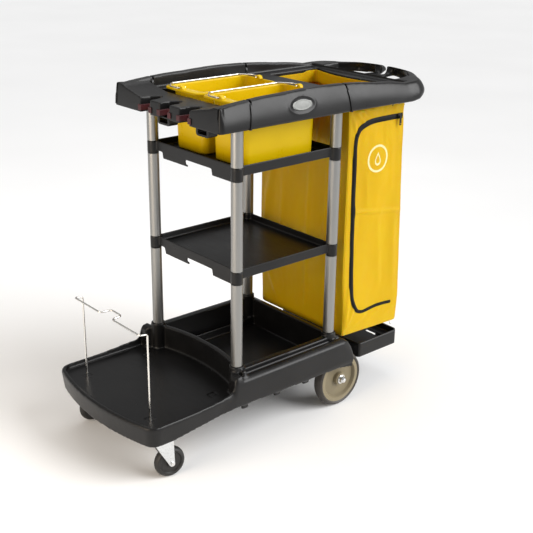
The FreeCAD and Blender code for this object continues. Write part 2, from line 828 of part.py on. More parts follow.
def tub(name, centre_y, inset, low, width_cut):
    """A tapered box with rounded corners, wide end up, pulled in all round by inset."""
    drop = pail_rim - low
    narrowing = drop * math.tan(math.radians(PAIL_TAPER))
    middle = pail_centre + BODY_SHIFT
    half_x = pail_length / 2.0 - BODY_SHIFT - 0.5 - inset - narrowing
    half_y = pail_width / 2.0 - width_cut - inset - narrowing
    body = pad(name, "Z", low, drop, [
        (middle - half_x, centre_y - half_y),
        (middle + half_x, centre_y - half_y),
        (middle + half_x, centre_y + half_y),
        (middle - half_x, centre_y + half_y),
    ], PAIL_TAPER)
    return rounded(f"{name}_round", body, 26.0 - inset, steep)


def steep(edge):
    """True for a nearly upright straight edge."""
    if len(edge.Vertexes) != 2:
        return False
    a, b = edge.Vertexes[0].Point, edge.Vertexes[1].Point
    return abs(a.z - b.z) > 0.9 * edge.Length


def pail(side_name, centre_y):
    node = f"pail_{side_name}"
    skirt = 9.0
    outside = tub(f"{node}_outside", centre_y, 0.0, pail_base, skirt)
    inside = tub(f"{node}_inside", centre_y, pail_wall, pail_base + pail_wall, skirt)
    rim = rounded(f"{node}_rim", block(
        f"{node}_rim_block",
        (pail_centre - pail_length / 2.0, centre_y - pail_width / 2.0, pail_rim - 7.0),
        (pail_centre + pail_length / 2.0, centre_y + pail_width / 2.0, pail_rim),
    ), 30.0, upright)
    ears = []
    pins = []
    for end_name, sign in (("front", -1.0), ("rear", 1.0)):
        x = pail_centre + sign * (pail_length / 2.0 - 9.0)
        ears.append(block(
            f"{node}_ear_{end_name}", (x - 7.0, centre_y - EAR_SIDE, pail_rim - 2.0),
            (x + 7.0, centre_y + EAR_SIDE, pail_rim + 12.0),
        ))
        pins.append(rod(
            f"{node}_ear_hole_{end_name}", cell("bail_wire") / 2.0 + 0.06, 40.0,
            (x - 20.0, centre_y, pail_rim + 5.0), "X",
        ))
    mouth_cut = tub(f"{node}_mouth", centre_y, pail_wall, pail_rim - 12.0, skirt)
    solid = fuse(f"{node}_solid", cut(f"{node}_cup", outside, inside), cut(
        f"{node}_rim_ring", rim, mouth_cut,
    ), *ears)
    keep(node, cut(node, solid, *pins))
    bail(side_name, centre_y)


def bail(side_name, centre_y):
    """The wire handle, lying folded towards +Y over the rim, turning in the two ears."""
    wire = cell("bail_wire") / 2.0
    level = pail_rim + 5.0
    half = pail_length / 2.0
    fold = pail_width / 2.0 - 8.0
    inner = half - 9.0
    points = []
    for sign in (-1.0, 1.0):
        x_in = pail_centre + sign * (inner - 15.0)
        x_out = pail_centre + sign * (inner + 13.0)
        end = [
            (x_in, centre_y, level),
            (x_out, centre_y, level),
            (x_out, centre_y + fold - 40.0, level),
            (pail_centre + sign * (inner - 18.0), centre_y + fold, level),
        ]
        points += end if sign < 0 else end[::-1]
    bent_rod(f"bail_{side_name}", wire, points, [6.0, 20.0, 20.0, 20.0, 20.0, 6.0])


pail("left", cell("pail_pitch") / 2.0)
pail("right", -cell("pail_pitch") / 2.0)

# ---------------------------------------------------------------- waste bag

bag_front = cell("bag_front")
bag_rear = cell("bag_rear")
bag_side = cell("bag_side")
bag_bottom = cell("bag_bottom")
bag_shoulder = cell("bag_shoulder")
bag_top = cell("bag_top")
bag_skin = cell("bag_skin")
neck_gap = 5.0


def waste_bag():
    sack = block(
        "bag_sack", (bag_front, -bag_side, bag_bottom), (bag_rear, bag_side, bag_shoulder),
    )
    hollow = block(
        "bag_hollow", (bag_front + bag_skin, -bag_side + bag_skin, bag_bottom + bag_skin),
        (bag_rear - bag_skin, bag_side - bag_skin, bag_shoulder - bag_skin),
    )
    neck = pad("bag_neck", "Z", bag_shoulder - 1.0, bag_top - bag_shoulder + 1.0,
               mouth_outline(neck_gap + 4.0))
    throat = pad("bag_throat", "Z", bag_shoulder - 20.0, bag_top - bag_shoulder + 30.0,
                 mouth_outline(neck_gap + 4.0 + bag_skin))
    keep("waste_bag", cut("waste_bag", fuse("bag_body", sack, neck), hollow, throat))


waste_bag()

zip_face = -bag_side - 0.4
zip_top = 1010.0
ZIP_WIDTH = 11.0


def flat_band(node, thickness, width, points, bends, face):
    """A flat band along a path on an XZ face, standing out towards -Y."""
    path = [FreeCAD.Vector(x, number(face), z) for x, z in points]
    spine = smooth_wire(path, bends)
    ahead = (path[1] - path[0]).normalize()
    side = FreeCAD.Vector(0, 1, 0).cross(ahead) * (width / 2)
    out = FreeCAD.Vector(0, -thickness, 0)
    corners = [path[0] + side, path[0] - side, path[0] - side + out, path[0] + side + out]
    profile = Part.makePolygon(corners + corners[:1])
    item = document.addObject("Part::Feature", node)
    item.Shape = spine.makePipeShell([profile], True, True)
    return keep(node, item)


flat_band("zipper_tape", 1.4, ZIP_WIDTH, [
    (476.0, zip_top), (352.0, zip_top), (264.0, 1000.0), (266.0, 316.0),
    (326.0, 310.0), (392.0, 330.0), (480.0, 320.0),
], [60.0, 66.0, 30.0, 60.0, 120.0], zip_face)

slider_face = zip_face - 1.4 - 0.3
slider = block("slider_block", (458.0, slider_face - 5.0, zip_top - 8.0), (474.0, slider_face, zip_top + 8.0))
slider_bridge = block(
    "slider_bridge", (463.0, slider_face - 8.0, zip_top - 3.0), (469.0, slider_face - 4.0, zip_top + 3.0),
)
keep("zipper_slider", fuse("zipper_slider", slider, slider_bridge))
pull_plate = block(
    "pull_plate", (461.5, slider_face - 10.2, zip_top - 30.0), (470.5, slider_face - 8.4, zip_top - 1.0),
)
pull_knuckle = rod("pull_knuckle", 1.1, 9.0, (461.5, slider_face - 9.3, zip_top - 1.5), "X")
pull_eye = rod("pull_eye", 2.2, 6.0, (466.0, slider_face - 12.0, zip_top - 25.0), "Y")
keep("zipper_pull", cut("zipper_pull", fuse("pull_form", pull_plate, pull_knuckle), pull_eye))

for name, y in (("left", bag_side - bag_skin), ("right", -bag_side + bag_skin)):
    low = y - 4.0 if name == "left" else y
    keep(f"bag_stud_{name}", rod(f"bag_stud_{name}", 9.0, 4.0, (440.0, low, bag_shoulder - 22.0), "Y"))

# ---------------------------------------------------------------- rear platform


def rear_platform():
    front = cell("platform_front")
    rear = cell("platform_rear")
    side = cell("platform_side")
    low = platform_low
    rim = cell("platform_rim")
    tray_form = pad("platform_form", "Z", low, rim - low, [
        (base_rear, -150.0), (front - 10.0, -150.0), (front, -side + 8.0), (front + 8.0, -side),
        (rear - 14.0, -side), (rear, -side + 14.0), (rear, side - 14.0), (rear - 14.0, side),
        (front + 8.0, side), (front, side - 8.0), (front - 10.0, 150.0), (base_rear, 150.0),
    ])
    recess = block(
        "platform_recess", (front + 8.0, -side + 9.0, rim - 24.0), (rear - 9.0, side - 9.0, rim + 10.0),
    )
    under = block(
        "platform_under", (base_rear + 6.0, -140.0, low - 10.0), (rear - 8.0, 140.0, rim - 30.0),
    )
    slots = [
        block(
            f"platform_slot_{name}", (rear - 65.0, y, low - 10.0), (rear - 47.0, y + 90.0, rim + 10.0),
        )
        for name, y in (("left", 106.0), ("right", -196.0))
    ]
    keep("rear_platform", cut("rear_platform", tray_form, recess, under, *slots))


rear_platform()

# ---------------------------------------------------------------- wire rack on the deck

rack_leg_x = cell("rack_leg_x")
rack_side = cell("rack_leg_side")
rack_top = cell("rack_top")
rack_back = rack_leg_x - 28.0
rack_jog = rack_leg_x + 10.0
foot = deck_floor - 18.0
half_rack = [
    (rack_leg_x, rack_side, foot),
    (rack_leg_x, rack_side, rack_top),
    (rack_back, rack_side + 2.0, rack_top + 4.0),
    (rack_back, 34.0, rack_top + 4.0),
    (rack_jog, 30.0, rack_top + 4.0),
]
far_half = [(x, -y, z) for x, y, z in reversed(half_rack)]
bent_rod(
    "deck_wire_rack", cell("rack_wire") / 2.0, half_rack + far_half,
    [9.0, 9.0, 12.0, 12.0, 12.0, 12.0, 9.0, 9.0],
)

# ---------------------------------------------------------------- rear wheels

rear_radius = cell("rear_wheel_radius")
rear_width = cell("rear_wheel_width")
wheel_side = cell("rear_wheel_side")
axle_radius = cell("axle_radius")

TREAD_RISE = 4.0

keep("rear_axle", rod(
    "rear_axle", axle_radius, 2.0 * wheel_side + rear_width + 26.0,
    (rear_axle, -wheel_side - rear_width / 2.0 - 13.0, rear_radius), "Y",
))

for name, sign in (("left", 1.0), ("right", -1.0)):
    centre = (rear_axle, sign * wheel_side, rear_radius)
    half = rear_width / 2.0
    facing = 180.0 if sign < 0 else 0.0
    tyre = turned(f"rear_tyre_{name}", [
        (rear_radius - 15.0, -half + 3.0), (rear_radius - 10.0, -half),
        (rear_radius - TREAD_RISE, -half + 3.0),
        (rear_radius - TREAD_RISE, half - 3.0, crown_radius(half - 3.0, TREAD_RISE)),
        (rear_radius - 10.0, half), (rear_radius - 15.0, half - 3.0),
    ], centre, "Y", facing)
    keep(f"rear_tyre_{name}", tyre)
    hub = turned(f"rear_hub_{name}", [
        (axle_radius + 0.05, -half), (22.0, -half), (24.0, -half + 12.0), (68.0, -half + 12.0),
        (74.0, -half + 3.0), (rear_radius - 15.0, -half + 3.0), (rear_radius - 15.0, half - 3.0),
        (74.0, half - 3.0), (68.0, half - 14.0), (24.0, half - 14.0), (22.0, half),
        (axle_radius + 0.05, half),
    ], centre, "Y", facing)
    keep(f"rear_hub_{name}", hub)
    out = sign * (wheel_side + half)
    washer_low = out + 0.4 if sign > 0 else out - 3.4
    keep(f"axle_washer_{name}", tube(
        f"axle_washer_{name}", 17.0, 17.0 - axle_radius - 0.02, 3.0,
        (rear_axle, washer_low, rear_radius), "Y",
    ))
    cap = turned(f"axle_cap_{name}", [
        (0.0, 12.0), (0.0, 17.0), (8.0, 14.0), (11.5, 9.0), (12.5, 3.5), (12.5, 0.0),
        (axle_radius, 0.0), (axle_radius, 12.0),
    ], (rear_axle, washer_low + 3.0 if sign > 0 else washer_low, rear_radius), "Y", facing)
    keep(f"axle_cap_{name}", cap)

# ---------------------------------------------------------------- front casters

caster_radius = cell("caster_radius")
caster_width = cell("caster_width")
caster_front = cell("caster_front")
caster_side = cell("caster_side")
caster_trail = cell("caster_trail")
CASTER_YAW = {"left": 14.0, "right": -8.0}
fork_gap = 3.0
fork_sheet = 3.0


def around(centre, yaw, along, across):
    """A point given along and across a caster's own heading, as row coordinates."""
    c = math.cos(math.radians(yaw))
    s = math.sin(math.radians(yaw))
    return (centre[0] + along * c - across * s, centre[1] + along * s + across * c)


def caster(name, centre, yaw):
    x, y = centre
    keep(f"caster_stem_{name}", turned(f"caster_stem_{name}", [
        (0.0, -15.3), (9.0, -15.3), (9.0, -12.3), (5.95, -12.3), (5.95, 22.0), (0.0, 22.0),
    ], (x, y, deck_bottom)))
    keep(f"caster_plate_{name}", tube(
        f"caster_plate_{name}", 31.0, 31.0 - 6.2, 5.4, (x, y, deck_bottom - 5.5),
    ))
    fork_top = deck_bottom - 6.0
    half_gap = caster_width / 2.0 + fork_gap
    crown_plate = pad(f"fork_crown_{name}", "Z", fork_top - 6.0, 6.0, [
        (-26.0, -half_gap - fork_sheet, 24.0), (caster_trail - 2.0, -half_gap - fork_sheet),
        (caster_trail - 2.0, half_gap + fork_sheet), (-26.0, half_gap + fork_sheet),
    ])
    legs = [
        pad(f"fork_leg_{leg_name}_{name}", "Y", low, fork_sheet, [
            (-20.0, fork_top - 5.0), (-12.0, fork_top - 22.0),
            (caster_trail - 9.0, caster_radius - 4.0), (caster_trail + 9.0, caster_radius - 4.0, 10.0),
            (caster_trail + 6.0, fork_top - 5.0),
        ])
        for leg_name, low in (("inner", half_gap), ("outer", -half_gap - fork_sheet))
    ]
    stem_hole = rod(f"fork_stem_hole_{name}", 6.0, 20.0, (0.0, 0.0, fork_top - 12.0))
    axle_hole = rod(
        f"fork_axle_hole_{name}", 4.0, 2.0 * half_gap + 40.0,
        (caster_trail, -half_gap - 20.0, caster_radius), "Y",
    )
    fork = cut(f"caster_fork_{name}", fuse(f"fork_form_{name}", crown_plate, *legs), stem_hole, axle_hole)
    keep(f"caster_fork_{name}", place(fork, (x, y, 0.0), "Z", yaw))
    hub_x, hub_y = around(centre, yaw, caster_trail, 0.0)
    half = caster_width / 2.0
    keep(f"caster_wheel_{name}", turned(f"caster_wheel_{name}", [
        (4.05, -half), (13.0, -half), (15.0, -half + 5.0), (34.0, -half + 5.0), (37.0, -half + 1.0),
        (caster_radius - 9.0, -half + 1.0), (caster_radius - TREAD_RISE, -half + 3.5),
        (caster_radius - TREAD_RISE, half - 3.5, crown_radius(half - 3.5, TREAD_RISE)),
        (caster_radius - 9.0, half - 1.0), (37.0, half - 1.0),
        (34.0, half - 5.0), (15.0, half - 5.0), (13.0, half), (4.05, half),
    ], (hub_x, hub_y, caster_radius), "Y", yaw))
    bolt_half = half_gap + fork_sheet
    bolt_at = around(centre, yaw, caster_trail, -bolt_half - 4.5)
    keep(f"caster_bolt_{name}", turned(f"caster_bolt_{name}", [
        (0.0, 0.0), (6.5, 0.0), (6.5, 4.5), (3.98, 4.5), (3.98, 2.0 * bolt_half + 11.0),
        (0.0, 2.0 * bolt_half + 11.0),
    ], (bolt_at[0], bolt_at[1], caster_radius), "Y", yaw))
    nut_at = around(centre, yaw, caster_trail, bolt_half + 0.05)
    keep(f"caster_nut_{name}", place(
        hex_nut(f"caster_nut_{name}", 7.2, 4.0, 5.0), (nut_at[0], nut_at[1], caster_radius), "Y", yaw,
    ))


def hex_nut(name, corner, hole, thickness):
    points = []
    for i in range(6):
        angle = math.radians(60 * i)
        points.append((corner * math.cos(angle), corner * math.sin(angle)))
    body = pad(f"{name}_hex", "Z", 0.0, thickness, points)
    return cut(name, body, rod(f"{name}_bore", hole, thickness + 2.0, (0.0, 0.0, -1.0)))


caster("left", (caster_front, caster_side), CASTER_YAW["left"])
caster("right", (caster_front, -caster_side), CASTER_YAW["right"])

# ---------------------------------------------------------------- check and write

document.recompute()
faults = []
for item in document.Objects:
    if "Invalid" in item.State or "Error" in item.State:
        faults.append(f"{item.Name}: {item.State}")
for node, item in kept.items():
    if item.Shape.isNull() or not item.Shape.isValid():
        faults.append(f"{node}: bad shape")
if faults:
    raise RuntimeError("; ".join(faults))

os.makedirs("parts", exist_ok=True)
for node, item in kept.items():
    item.Shape.exportStep(f"parts/{node}.step")
    solids = len(item.Shape.Solids)
    print(f"{node}: {solids} solid(s), {item.Shape.Volume / 1000:.1f} cm3")
box = Part.makeCompound([item.Shape for item in kept.values()]).BoundBox
print(f"box {box.XMin:.1f} {box.XMax:.1f} {box.YMin:.1f} {box.YMax:.1f} {box.ZMin:.1f} {box.ZMax:.1f}")
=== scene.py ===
import json
import math

import bmesh
import bpy
import numpy as np
from mathutils import Matrix, Vector, noise
from mathutils.bvhtree import BVHTree
from mathutils.geometry import convex_hull_2d


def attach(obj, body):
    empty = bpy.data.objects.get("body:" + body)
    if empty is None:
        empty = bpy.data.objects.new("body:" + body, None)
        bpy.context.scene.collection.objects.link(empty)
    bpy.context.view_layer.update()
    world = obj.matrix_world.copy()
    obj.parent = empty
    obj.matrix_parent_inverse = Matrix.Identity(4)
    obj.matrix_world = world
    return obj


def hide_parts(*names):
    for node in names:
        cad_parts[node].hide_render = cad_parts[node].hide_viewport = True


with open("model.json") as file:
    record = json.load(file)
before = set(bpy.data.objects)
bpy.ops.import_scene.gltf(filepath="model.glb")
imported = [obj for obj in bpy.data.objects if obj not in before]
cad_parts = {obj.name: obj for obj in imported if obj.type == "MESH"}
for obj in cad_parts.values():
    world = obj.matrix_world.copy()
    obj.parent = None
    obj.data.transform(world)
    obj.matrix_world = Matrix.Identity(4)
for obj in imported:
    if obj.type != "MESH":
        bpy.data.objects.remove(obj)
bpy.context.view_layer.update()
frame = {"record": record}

BODY_OF = {node: body for body, nodes in frame["record"]["behaviour"]["bodies"].items() for node in nodes}
SLOT_OF = {part["node"]: part["material_slot"] for part in frame["record"]["subparts"]}
ALL_NODES = sorted(SLOT_OF)


# ---------------- node materials

class Shader:
    """A small helper that builds one procedural material."""

    def __init__(self, name):
        self.material = bpy.data.materials.new(name)
        self.material.use_nodes = True
        self.nodes = self.material.node_tree.nodes
        self.links = self.material.node_tree.links
        self.bsdf = self.nodes["Principled BSDF"]
        self.place = self.nodes.new("ShaderNodeTexCoord").outputs["Object"]

    def add(self, kind, numbers=None, **settings):
        """A new node with these numbers on its sockets and these settings."""
        node = self.nodes.new(kind)
        for key, value in settings.items():
            setattr(node, key, value)
        for key, value in (numbers or {}).items():
            node.inputs[key].default_value = value
        return node

    def fixed(self, **values):
        """Constants straight on the shader's own sockets."""
        for key, value in values.items():
            self.bsdf.inputs[key.replace("_", " ")].default_value = value
        return self

    def stretched(self, scale):
        """The object's own coordinates, scaled along each axis."""
        node = self.add("ShaderNodeMapping", {"Scale": scale})
        self.links.new(self.place, node.inputs["Vector"])
        return node.outputs["Vector"]

    def noise(self, scale, detail=3.0, roughness=0.5, stretch=None):
        node = self.add("ShaderNodeTexNoise", {"Scale": scale, "Detail": detail, "Roughness": roughness})
        self.links.new(self.stretched(stretch) if stretch else self.place, node.inputs["Vector"])
        return node.outputs["Fac"]

    def cells(self, scale):
        node = self.add("ShaderNodeTexVoronoi", {"Scale": scale}, feature="F1")
        self.links.new(self.place, node.inputs["Vector"])
        return node.outputs["Distance"]

    def ramp(self, value, stops):
        node = self.add("ShaderNodeValToRGB")
        ramp = node.color_ramp
        while len(ramp.elements) < len(stops):
            ramp.elements.new(0.5)
        for element, (position, colour) in zip(ramp.elements, stops):
            element.position = position
            element.color = (*colour, 1.0)
        self.links.new(value, node.inputs["Fac"])
        return node.outputs["Color"]

    def spread(self, value, low, high, start=0.3, end=0.7):
        """A value mapped from start..end onto low..high."""
        numbers = {"From Min": start, "From Max": end, "To Min": low, "To Max": high}
        node = self.add("ShaderNodeMapRange", numbers)
        self.links.new(value, node.inputs["Value"])
        return node.outputs["Result"]

    def sum(self, a, b, kind="ADD"):
        node = self.add("ShaderNodeMath", operation=kind)
        for socket, value in zip(node.inputs, (a, b)):
            self.links.new(value, socket)
        return node.outputs["Value"]

    def mix(self, factor, a, b):
        """Colour a where the factor is 0, b where it is 1. Each may be a socket or three numbers."""
        node = self.add("ShaderNodeMix", data_type="RGBA")
        colours = [socket for socket in node.inputs if socket.type == "RGBA"]
        for socket, value in ((node.inputs[0], factor), (colours[0], a), (colours[1], b)):
            if isinstance(value, tuple):
                socket.default_value = (*value, 1.0)
            else:
                self.links.new(value, socket)
        return [socket for socket in node.outputs if socket.type == "RGBA"][0]

    def bump(self, height, distance, strength=1.0, under=None):
        node = self.add("ShaderNodeBump", {"Strength": strength, "Distance": distance})
        self.links.new(height, node.inputs["Height"])
        if under:
            self.links.new(under, node.inputs["Normal"])
        return node.outputs["Normal"]

    def edge_wear_and_highlight(self):
        """Bright on convex edges, dark in hollows: the pointiness that the materials use to paint edge
        highlights together with edge wear.
        """
        return self.add("ShaderNodeNewGeometry").outputs["Pointiness"]

    def done(self, colour, rough, normal=None):
        """Links the finished maps to the shader and gives the material."""
        for value, key in ((colour, "Base Color"), (rough, "Roughness"), (normal, "Normal")):
            if value is not None:
                self.links.new(value, self.bsdf.inputs[key])
        return self.material


MOULD_GRAIN = 1500.0
MOULD_DEPTH = 0.00012


def moulding(name, dark, light, rough):
    """Injection-moulded plastic with a fine spark-eroded texture, faint handling marks, and painted
    highlights with wear on its convex edges.
    """
    s = Shader(name).fixed(Specular_IOR_Level=0.3)
    patch = s.noise(7.0, 4.0)
    fine = s.noise(MOULD_GRAIN, 2.0, 0.6)
    # Painted highlight together with edge wear: convex edges are lightened towards a paler grey.
    edge = s.spread(s.edge_wear_and_highlight(), 0.0, 0.3, 0.51, 0.56)
    colour = s.ramp(patch, [(0.35, dark), (0.7, light)])
    colour = s.mix(edge, colour, tuple(min(1.0, 1.5 * c + 0.004) for c in light))
    scuff = s.noise(60.0, 5.0, 0.65, stretch=(1.0, 0.25, 0.6))
    roughness = s.sum(s.spread(patch, rough - 0.04, rough + 0.05), s.spread(scuff, -0.03, 0.04))
    return s.done(colour, roughness, s.bump(fine, MOULD_DEPTH, 0.3))


def anodised(name):
    """Satin aluminium tube with faint draw lines along its length."""
    s = Shader(name).fixed(Metallic=0.92)
    lines = s.noise(420.0, 3.0, 0.6, stretch=(1.0, 1.0, 0.012))
    patch = s.noise(9.0, 3.0)
    colour = s.mix(s.spread(lines, 0.0, 1.0), (0.28, 0.278, 0.268), (0.31, 0.308, 0.298))
    rough = s.sum(s.spread(lines, 0.33, 0.36), s.spread(patch, -0.02, 0.02))
    return s.done(colour, rough, s.bump(lines, 0.00002, 0.15))


def bright_wire(name, tint, rough=0.2):
    """Bright plated steel with faint patches and drawing marks."""
    s = Shader(name).fixed(Metallic=1.0)
    patch = s.noise(45.0, 4.0, 0.6)
    lines = s.noise(900.0, 2.0, 0.5, stretch=(0.2, 0.2, 0.2))
    colour = s.ramp(patch, [(0.3, tuple(0.86 * c for c in tint)), (0.7, tint)])
    return s.done(colour, s.spread(patch, rough - 0.05, rough + 0.1), s.bump(lines, 0.00003, 0.3))


def pail_plastic(name):
    """Yellow pail plastic that lets a little light in, with scuffs."""
    s = Shader(name).fixed(Specular_IOR_Level=0.18, Subsurface_Weight=0.1, Subsurface_Scale=1.0,
                           Subsurface_Radius=(0.005, 0.003, 0.0004))
    patch = s.noise(9.0, 4.0)
    fine = s.noise(380.0, 3.0, 0.55)
    scuff = s.noise(85.0, 6.0, 0.7, stretch=(0.5, 1.0, 0.35))
    colour = s.ramp(patch, [(0.3, (0.62, 0.41, 0.0006)), (0.7, (0.68, 0.46, 0.001))])
    rough = s.sum(s.spread(patch, 0.27, 0.36), s.spread(scuff, -0.03, 0.06, 0.45, 0.75))
    return s.done(colour, rough, s.bump(fine, 0.0001, 0.3))


def vinyl(name):
    """Coated bag vinyl: plain weave showing through a satin coat, with broad creases in its tone and painted
    highlights on its convex folds.
    """
    s = Shader(name).fixed(Specular_IOR_Level=0.15, Subsurface_Weight=0.4, Subsurface_Scale=1.0,
                           Subsurface_Radius=(0.006, 0.0021, 0.0001))
    threads = {"Scale": 480.0, "Distortion": 0.6}
    warp = s.add("ShaderNodeTexWave", threads, wave_type="BANDS", bands_direction="Z")
    weft = s.add("ShaderNodeTexWave", threads, wave_type="BANDS", bands_direction="DIAGONAL")
    for node in (warp, weft):
        s.links.new(s.place, node.inputs["Vector"])
    weave = s.sum(warp.outputs["Fac"], weft.outputs["Fac"], "MULTIPLY")
    patch = s.noise(4.5, 4.0, 0.55, stretch=(1.0, 1.0, 0.45))
    crease = s.noise(14.0, 6.0, 0.62, stretch=(1.0, 1.0, 0.4))
    tones = [(0.25, (0.50, 0.295, 0.0004)), (0.5, (0.56, 0.34, 0.0006)), (0.8, (0.61, 0.38, 0.001))]
    colour = s.ramp(patch, tones)
    # Painted highlight: convex folds and edges of the vinyl are lightened towards a paler yellow.
    colour = s.mix(s.spread(s.edge_wear_and_highlight(), 0.0, 0.4, 0.5, 0.56), colour, (0.70, 0.47, 0.01))
    rough = s.sum(s.spread(crease, 0.36, 0.52), s.spread(weave, 0.0, 0.05, 0.0, 1.0))
    creased = s.bump(crease, 0.0034, 0.6)
    return s.done(colour, rough, s.bump(weave, 0.00022, 0.5, creased))


def rubber(name, dark, light, rough):
    """Matt rubber with fine grain and dust in patches."""
    s = Shader(name)
    patch = s.noise(18.0, 5.0, 0.6)
    fine = s.noise(700.0, 3.0, 0.6)
    dust = s.noise(42.0, 6.0, 0.7)
    colour = s.ramp(patch, [(0.3, dark), (0.7, light)])
    colour = s.mix(s.spread(dust, 0.0, 0.22, 0.5, 0.75), colour, tuple(1.8 * c + 0.02 for c in light))
    return s.done(colour, s.spread(patch, rough - 0.05, rough + 0.1), s.bump(fine, 0.00025, 0.5))


def plated(name, tint, rough=0.3):
    """Zinc-plated pressing: soft spangle and fine rolling lines."""
    s = Shader(name).fixed(Metallic=1.0)
    spangle = s.cells(160.0)
    lines = s.noise(260.0, 4.0, 0.6, stretch=(1.0, 1.0, 0.08))
    colour = s.mix(s.spread(spangle, 0.0, 1.0, 0.1, 0.6), tuple(0.86 * c for c in tint), tint)
    rough_value = s.sum(s.spread(lines, rough - 0.06, rough + 0.08), s.spread(spangle, -0.03, 0.03))
    return s.done(colour, rough_value, s.bump(lines, 0.00006, 0.4))


def woven_tape(name):
    """The zipper's ribbed black cloth."""
    s = Shader(name).fixed(Specular_IOR_Level=0.15)
    rib = s.noise(1400.0, 2.0, 0.5)
    patch = s.noise(30.0, 3.0)
    colour = s.ramp(patch, [(0.3, (0.002, 0.002, 0.002)), (0.7, (0.006, 0.006, 0.006))])
    return s.done(colour, s.spread(patch, 0.5, 0.62), s.bump(rib, 0.0003, 0.6))


def printed_ink(name):
    """Pale screen-printed ink, a little worn."""
    s = Shader(name)
    patch = s.noise(160.0, 5.0, 0.65)
    colour = s.ramp(patch, [(0.3, (0.70, 0.56, 0.22)), (0.6, (0.80, 0.68, 0.36))])
    return s.done(colour, s.spread(patch, 0.4, 0.5), s.bump(patch, 0.0001, 0.3))


MATERIAL = {
    "aluminium_tube": anodised("satin_aluminium"),
    "black_moulding": moulding("black_moulding", (0.0036, 0.0035, 0.0036), (0.0068, 0.0066, 0.0068), 0.33),
    "hook_plastic": moulding("hook_plastic", (0.004, 0.004, 0.004), (0.008, 0.008, 0.008), 0.32),
    "grip_rubber": rubber("grip_rubber", (0.030, 0.0006, 0.0022), (0.055, 0.0012, 0.004), 0.5),
    "badge_plate": plated("badge_plate", (0.18, 0.183, 0.176), 0.5),
    "yellow_pail": pail_plastic("yellow_pail"),
    "bright_wire": bright_wire("bright_wire", (0.80, 0.78, 0.74)),
    "yellow_vinyl": vinyl("yellow_vinyl"),
    "zipper_black": woven_tape("zipper_tape_cloth"),
    "zipper_metal": moulding("zipper_enamel", (0.004, 0.004, 0.004), (0.008, 0.008, 0.008), 0.28),
    "stud_plastic": moulding("stud_plastic", (0.008, 0.008, 0.008), (0.014, 0.014, 0.014), 0.2),
    "grey_tyre": rubber("grey_tyre", (0.026, 0.021, 0.017), (0.045, 0.038, 0.030), 0.55),
    "tan_hub": moulding("tan_hub", (0.155, 0.128, 0.078), (0.205, 0.172, 0.108), 0.42),
    "plated_steel": bright_wire("bright_zinc", (0.78, 0.78, 0.77), 0.16),
    "zinc_fork": plated("zinc_fork", (0.72, 0.74, 0.75)),
    "caster_mount": moulding("caster_mount", (0.006, 0.006, 0.006), (0.011, 0.011, 0.011), 0.35),
    "caster_rubber": rubber("caster_rubber", (0.005, 0.0045, 0.004), (0.010, 0.009, 0.007), 0.5),
    "printed_ink": printed_ink("printed_ink"),
}

for node in ALL_NODES:
    item = bpy.data.objects[node]
    item.data.materials.clear()
    item.data.materials.append(MATERIAL[SLOT_OF[node]])


# ---------------- mesh helpers

MM = 0.001
SIDES = (("left", 1.0), ("right", -1.0))


def collection_link(item):
    """Puts an object in the scene."""
    bpy.context.scene.collection.objects.link(item)
    return item


def mesh_piece(name, points, faces):
    """A new object from points in metres and lists of their indices."""
    mesh = bpy.data.meshes.new(name)
    mesh.from_pydata([tuple(p) for p in points], [], [tuple(f) for f in faces])
    mesh.update()
    return collection_link(bpy.data.objects.new(name, mesh))


def applied(item):
    """The object with its modifiers applied."""
    graph = bpy.context.evaluated_depsgraph_get()
    graph.update()
    result = bpy.data.meshes.new_from_object(item.evaluated_get(graph))
    item.modifiers.clear()
    old = item.data
    item.data = result
    bpy.data.meshes.remove(old)
    return item


def coordinates(item):
    """The object's points, one row each, in metres."""
    flat = np.empty(len(item.data.vertices) * 3)
    item.data.vertices.foreach_get("co", flat)
    return flat.reshape(-1, 3)


def set_coordinates(item, points):
    item.data.vertices.foreach_set("co", np.ascontiguousarray(points).ravel())
    item.data.update()


def edge_pairs(item):
    """The two point numbers of each edge."""
    flat = np.empty(len(item.data.edges) * 2, dtype=np.int64)
    item.data.edges.foreach_get("vertices", flat)
    return flat.reshape(-1, 2)


def relaxed(points, pairs, rounds, weight=1.0):
    """Moves each point half of its weight of the way to the middle of its neighbours, rounds times."""
    count = np.bincount(pairs.ravel(), minlength=len(points)).clip(1)[:, None]
    weight = np.broadcast_to(np.asarray(weight, dtype=float), (len(points),))[:, None] * 0.5
    a, b = pairs[:, 0], pairs[:, 1]
    for _ in range(rounds):
        near = np.stack([
            np.bincount(a, points[b, k], len(points)) + np.bincount(b, points[a, k], len(points))
            for k in range(3)
        ], axis=1)
        points = points + (near / count - points) * weight
    return points


def smoothed(item, angle=38.0):
    """Smooth shading with crisp edges where faces meet at more than the angle."""
    item.data.shade_smooth()
    item.data.set_sharp_from_angle(angle=math.radians(angle))
    return item


def ramp_between(value, low, high):
    """Zero below low, one above high, and smooth between."""
    t = np.clip((value - low) / (high - low), 0.0, 1.0)
    return t * t * (3.0 - 2.0 * t)


def moulded(node, name, voxel, rounds):
    """A copy of a CAD node's form with every edge rounded as a moulding's is."""
    item = collection_link(bpy.data.objects.new(name, bpy.data.objects[node].data.copy()))
    item.data.materials.clear()
    grid = item.modifiers.new("grid", "REMESH")
    grid.mode = "VOXEL"
    grid.voxel_size = voxel * MM
    applied(item)
    set_coordinates(item, relaxed(coordinates(item), edge_pairs(item), rounds))
    return item


def finished(item, material, body, *nodes, slot=None):
    """Gives a piece its material and its body, and hides the CAD nodes that it stands for; the slot argument
    is not used.
    """
    item.data.materials.clear()
    item.data.materials.append(MATERIAL[material])
    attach(item, body)
    if nodes:
        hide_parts(*nodes)
    return item


def plan_hull(points):
    """The convex outline of points seen from above, anticlockwise."""
    flat = [(float(x), float(y)) for x, y in np.unique(np.round(points[:, :2], 4), axis=0)]
    return np.array([flat[i] for i in convex_hull_2d(flat)])


CORNER_BLEND = 8 * MM


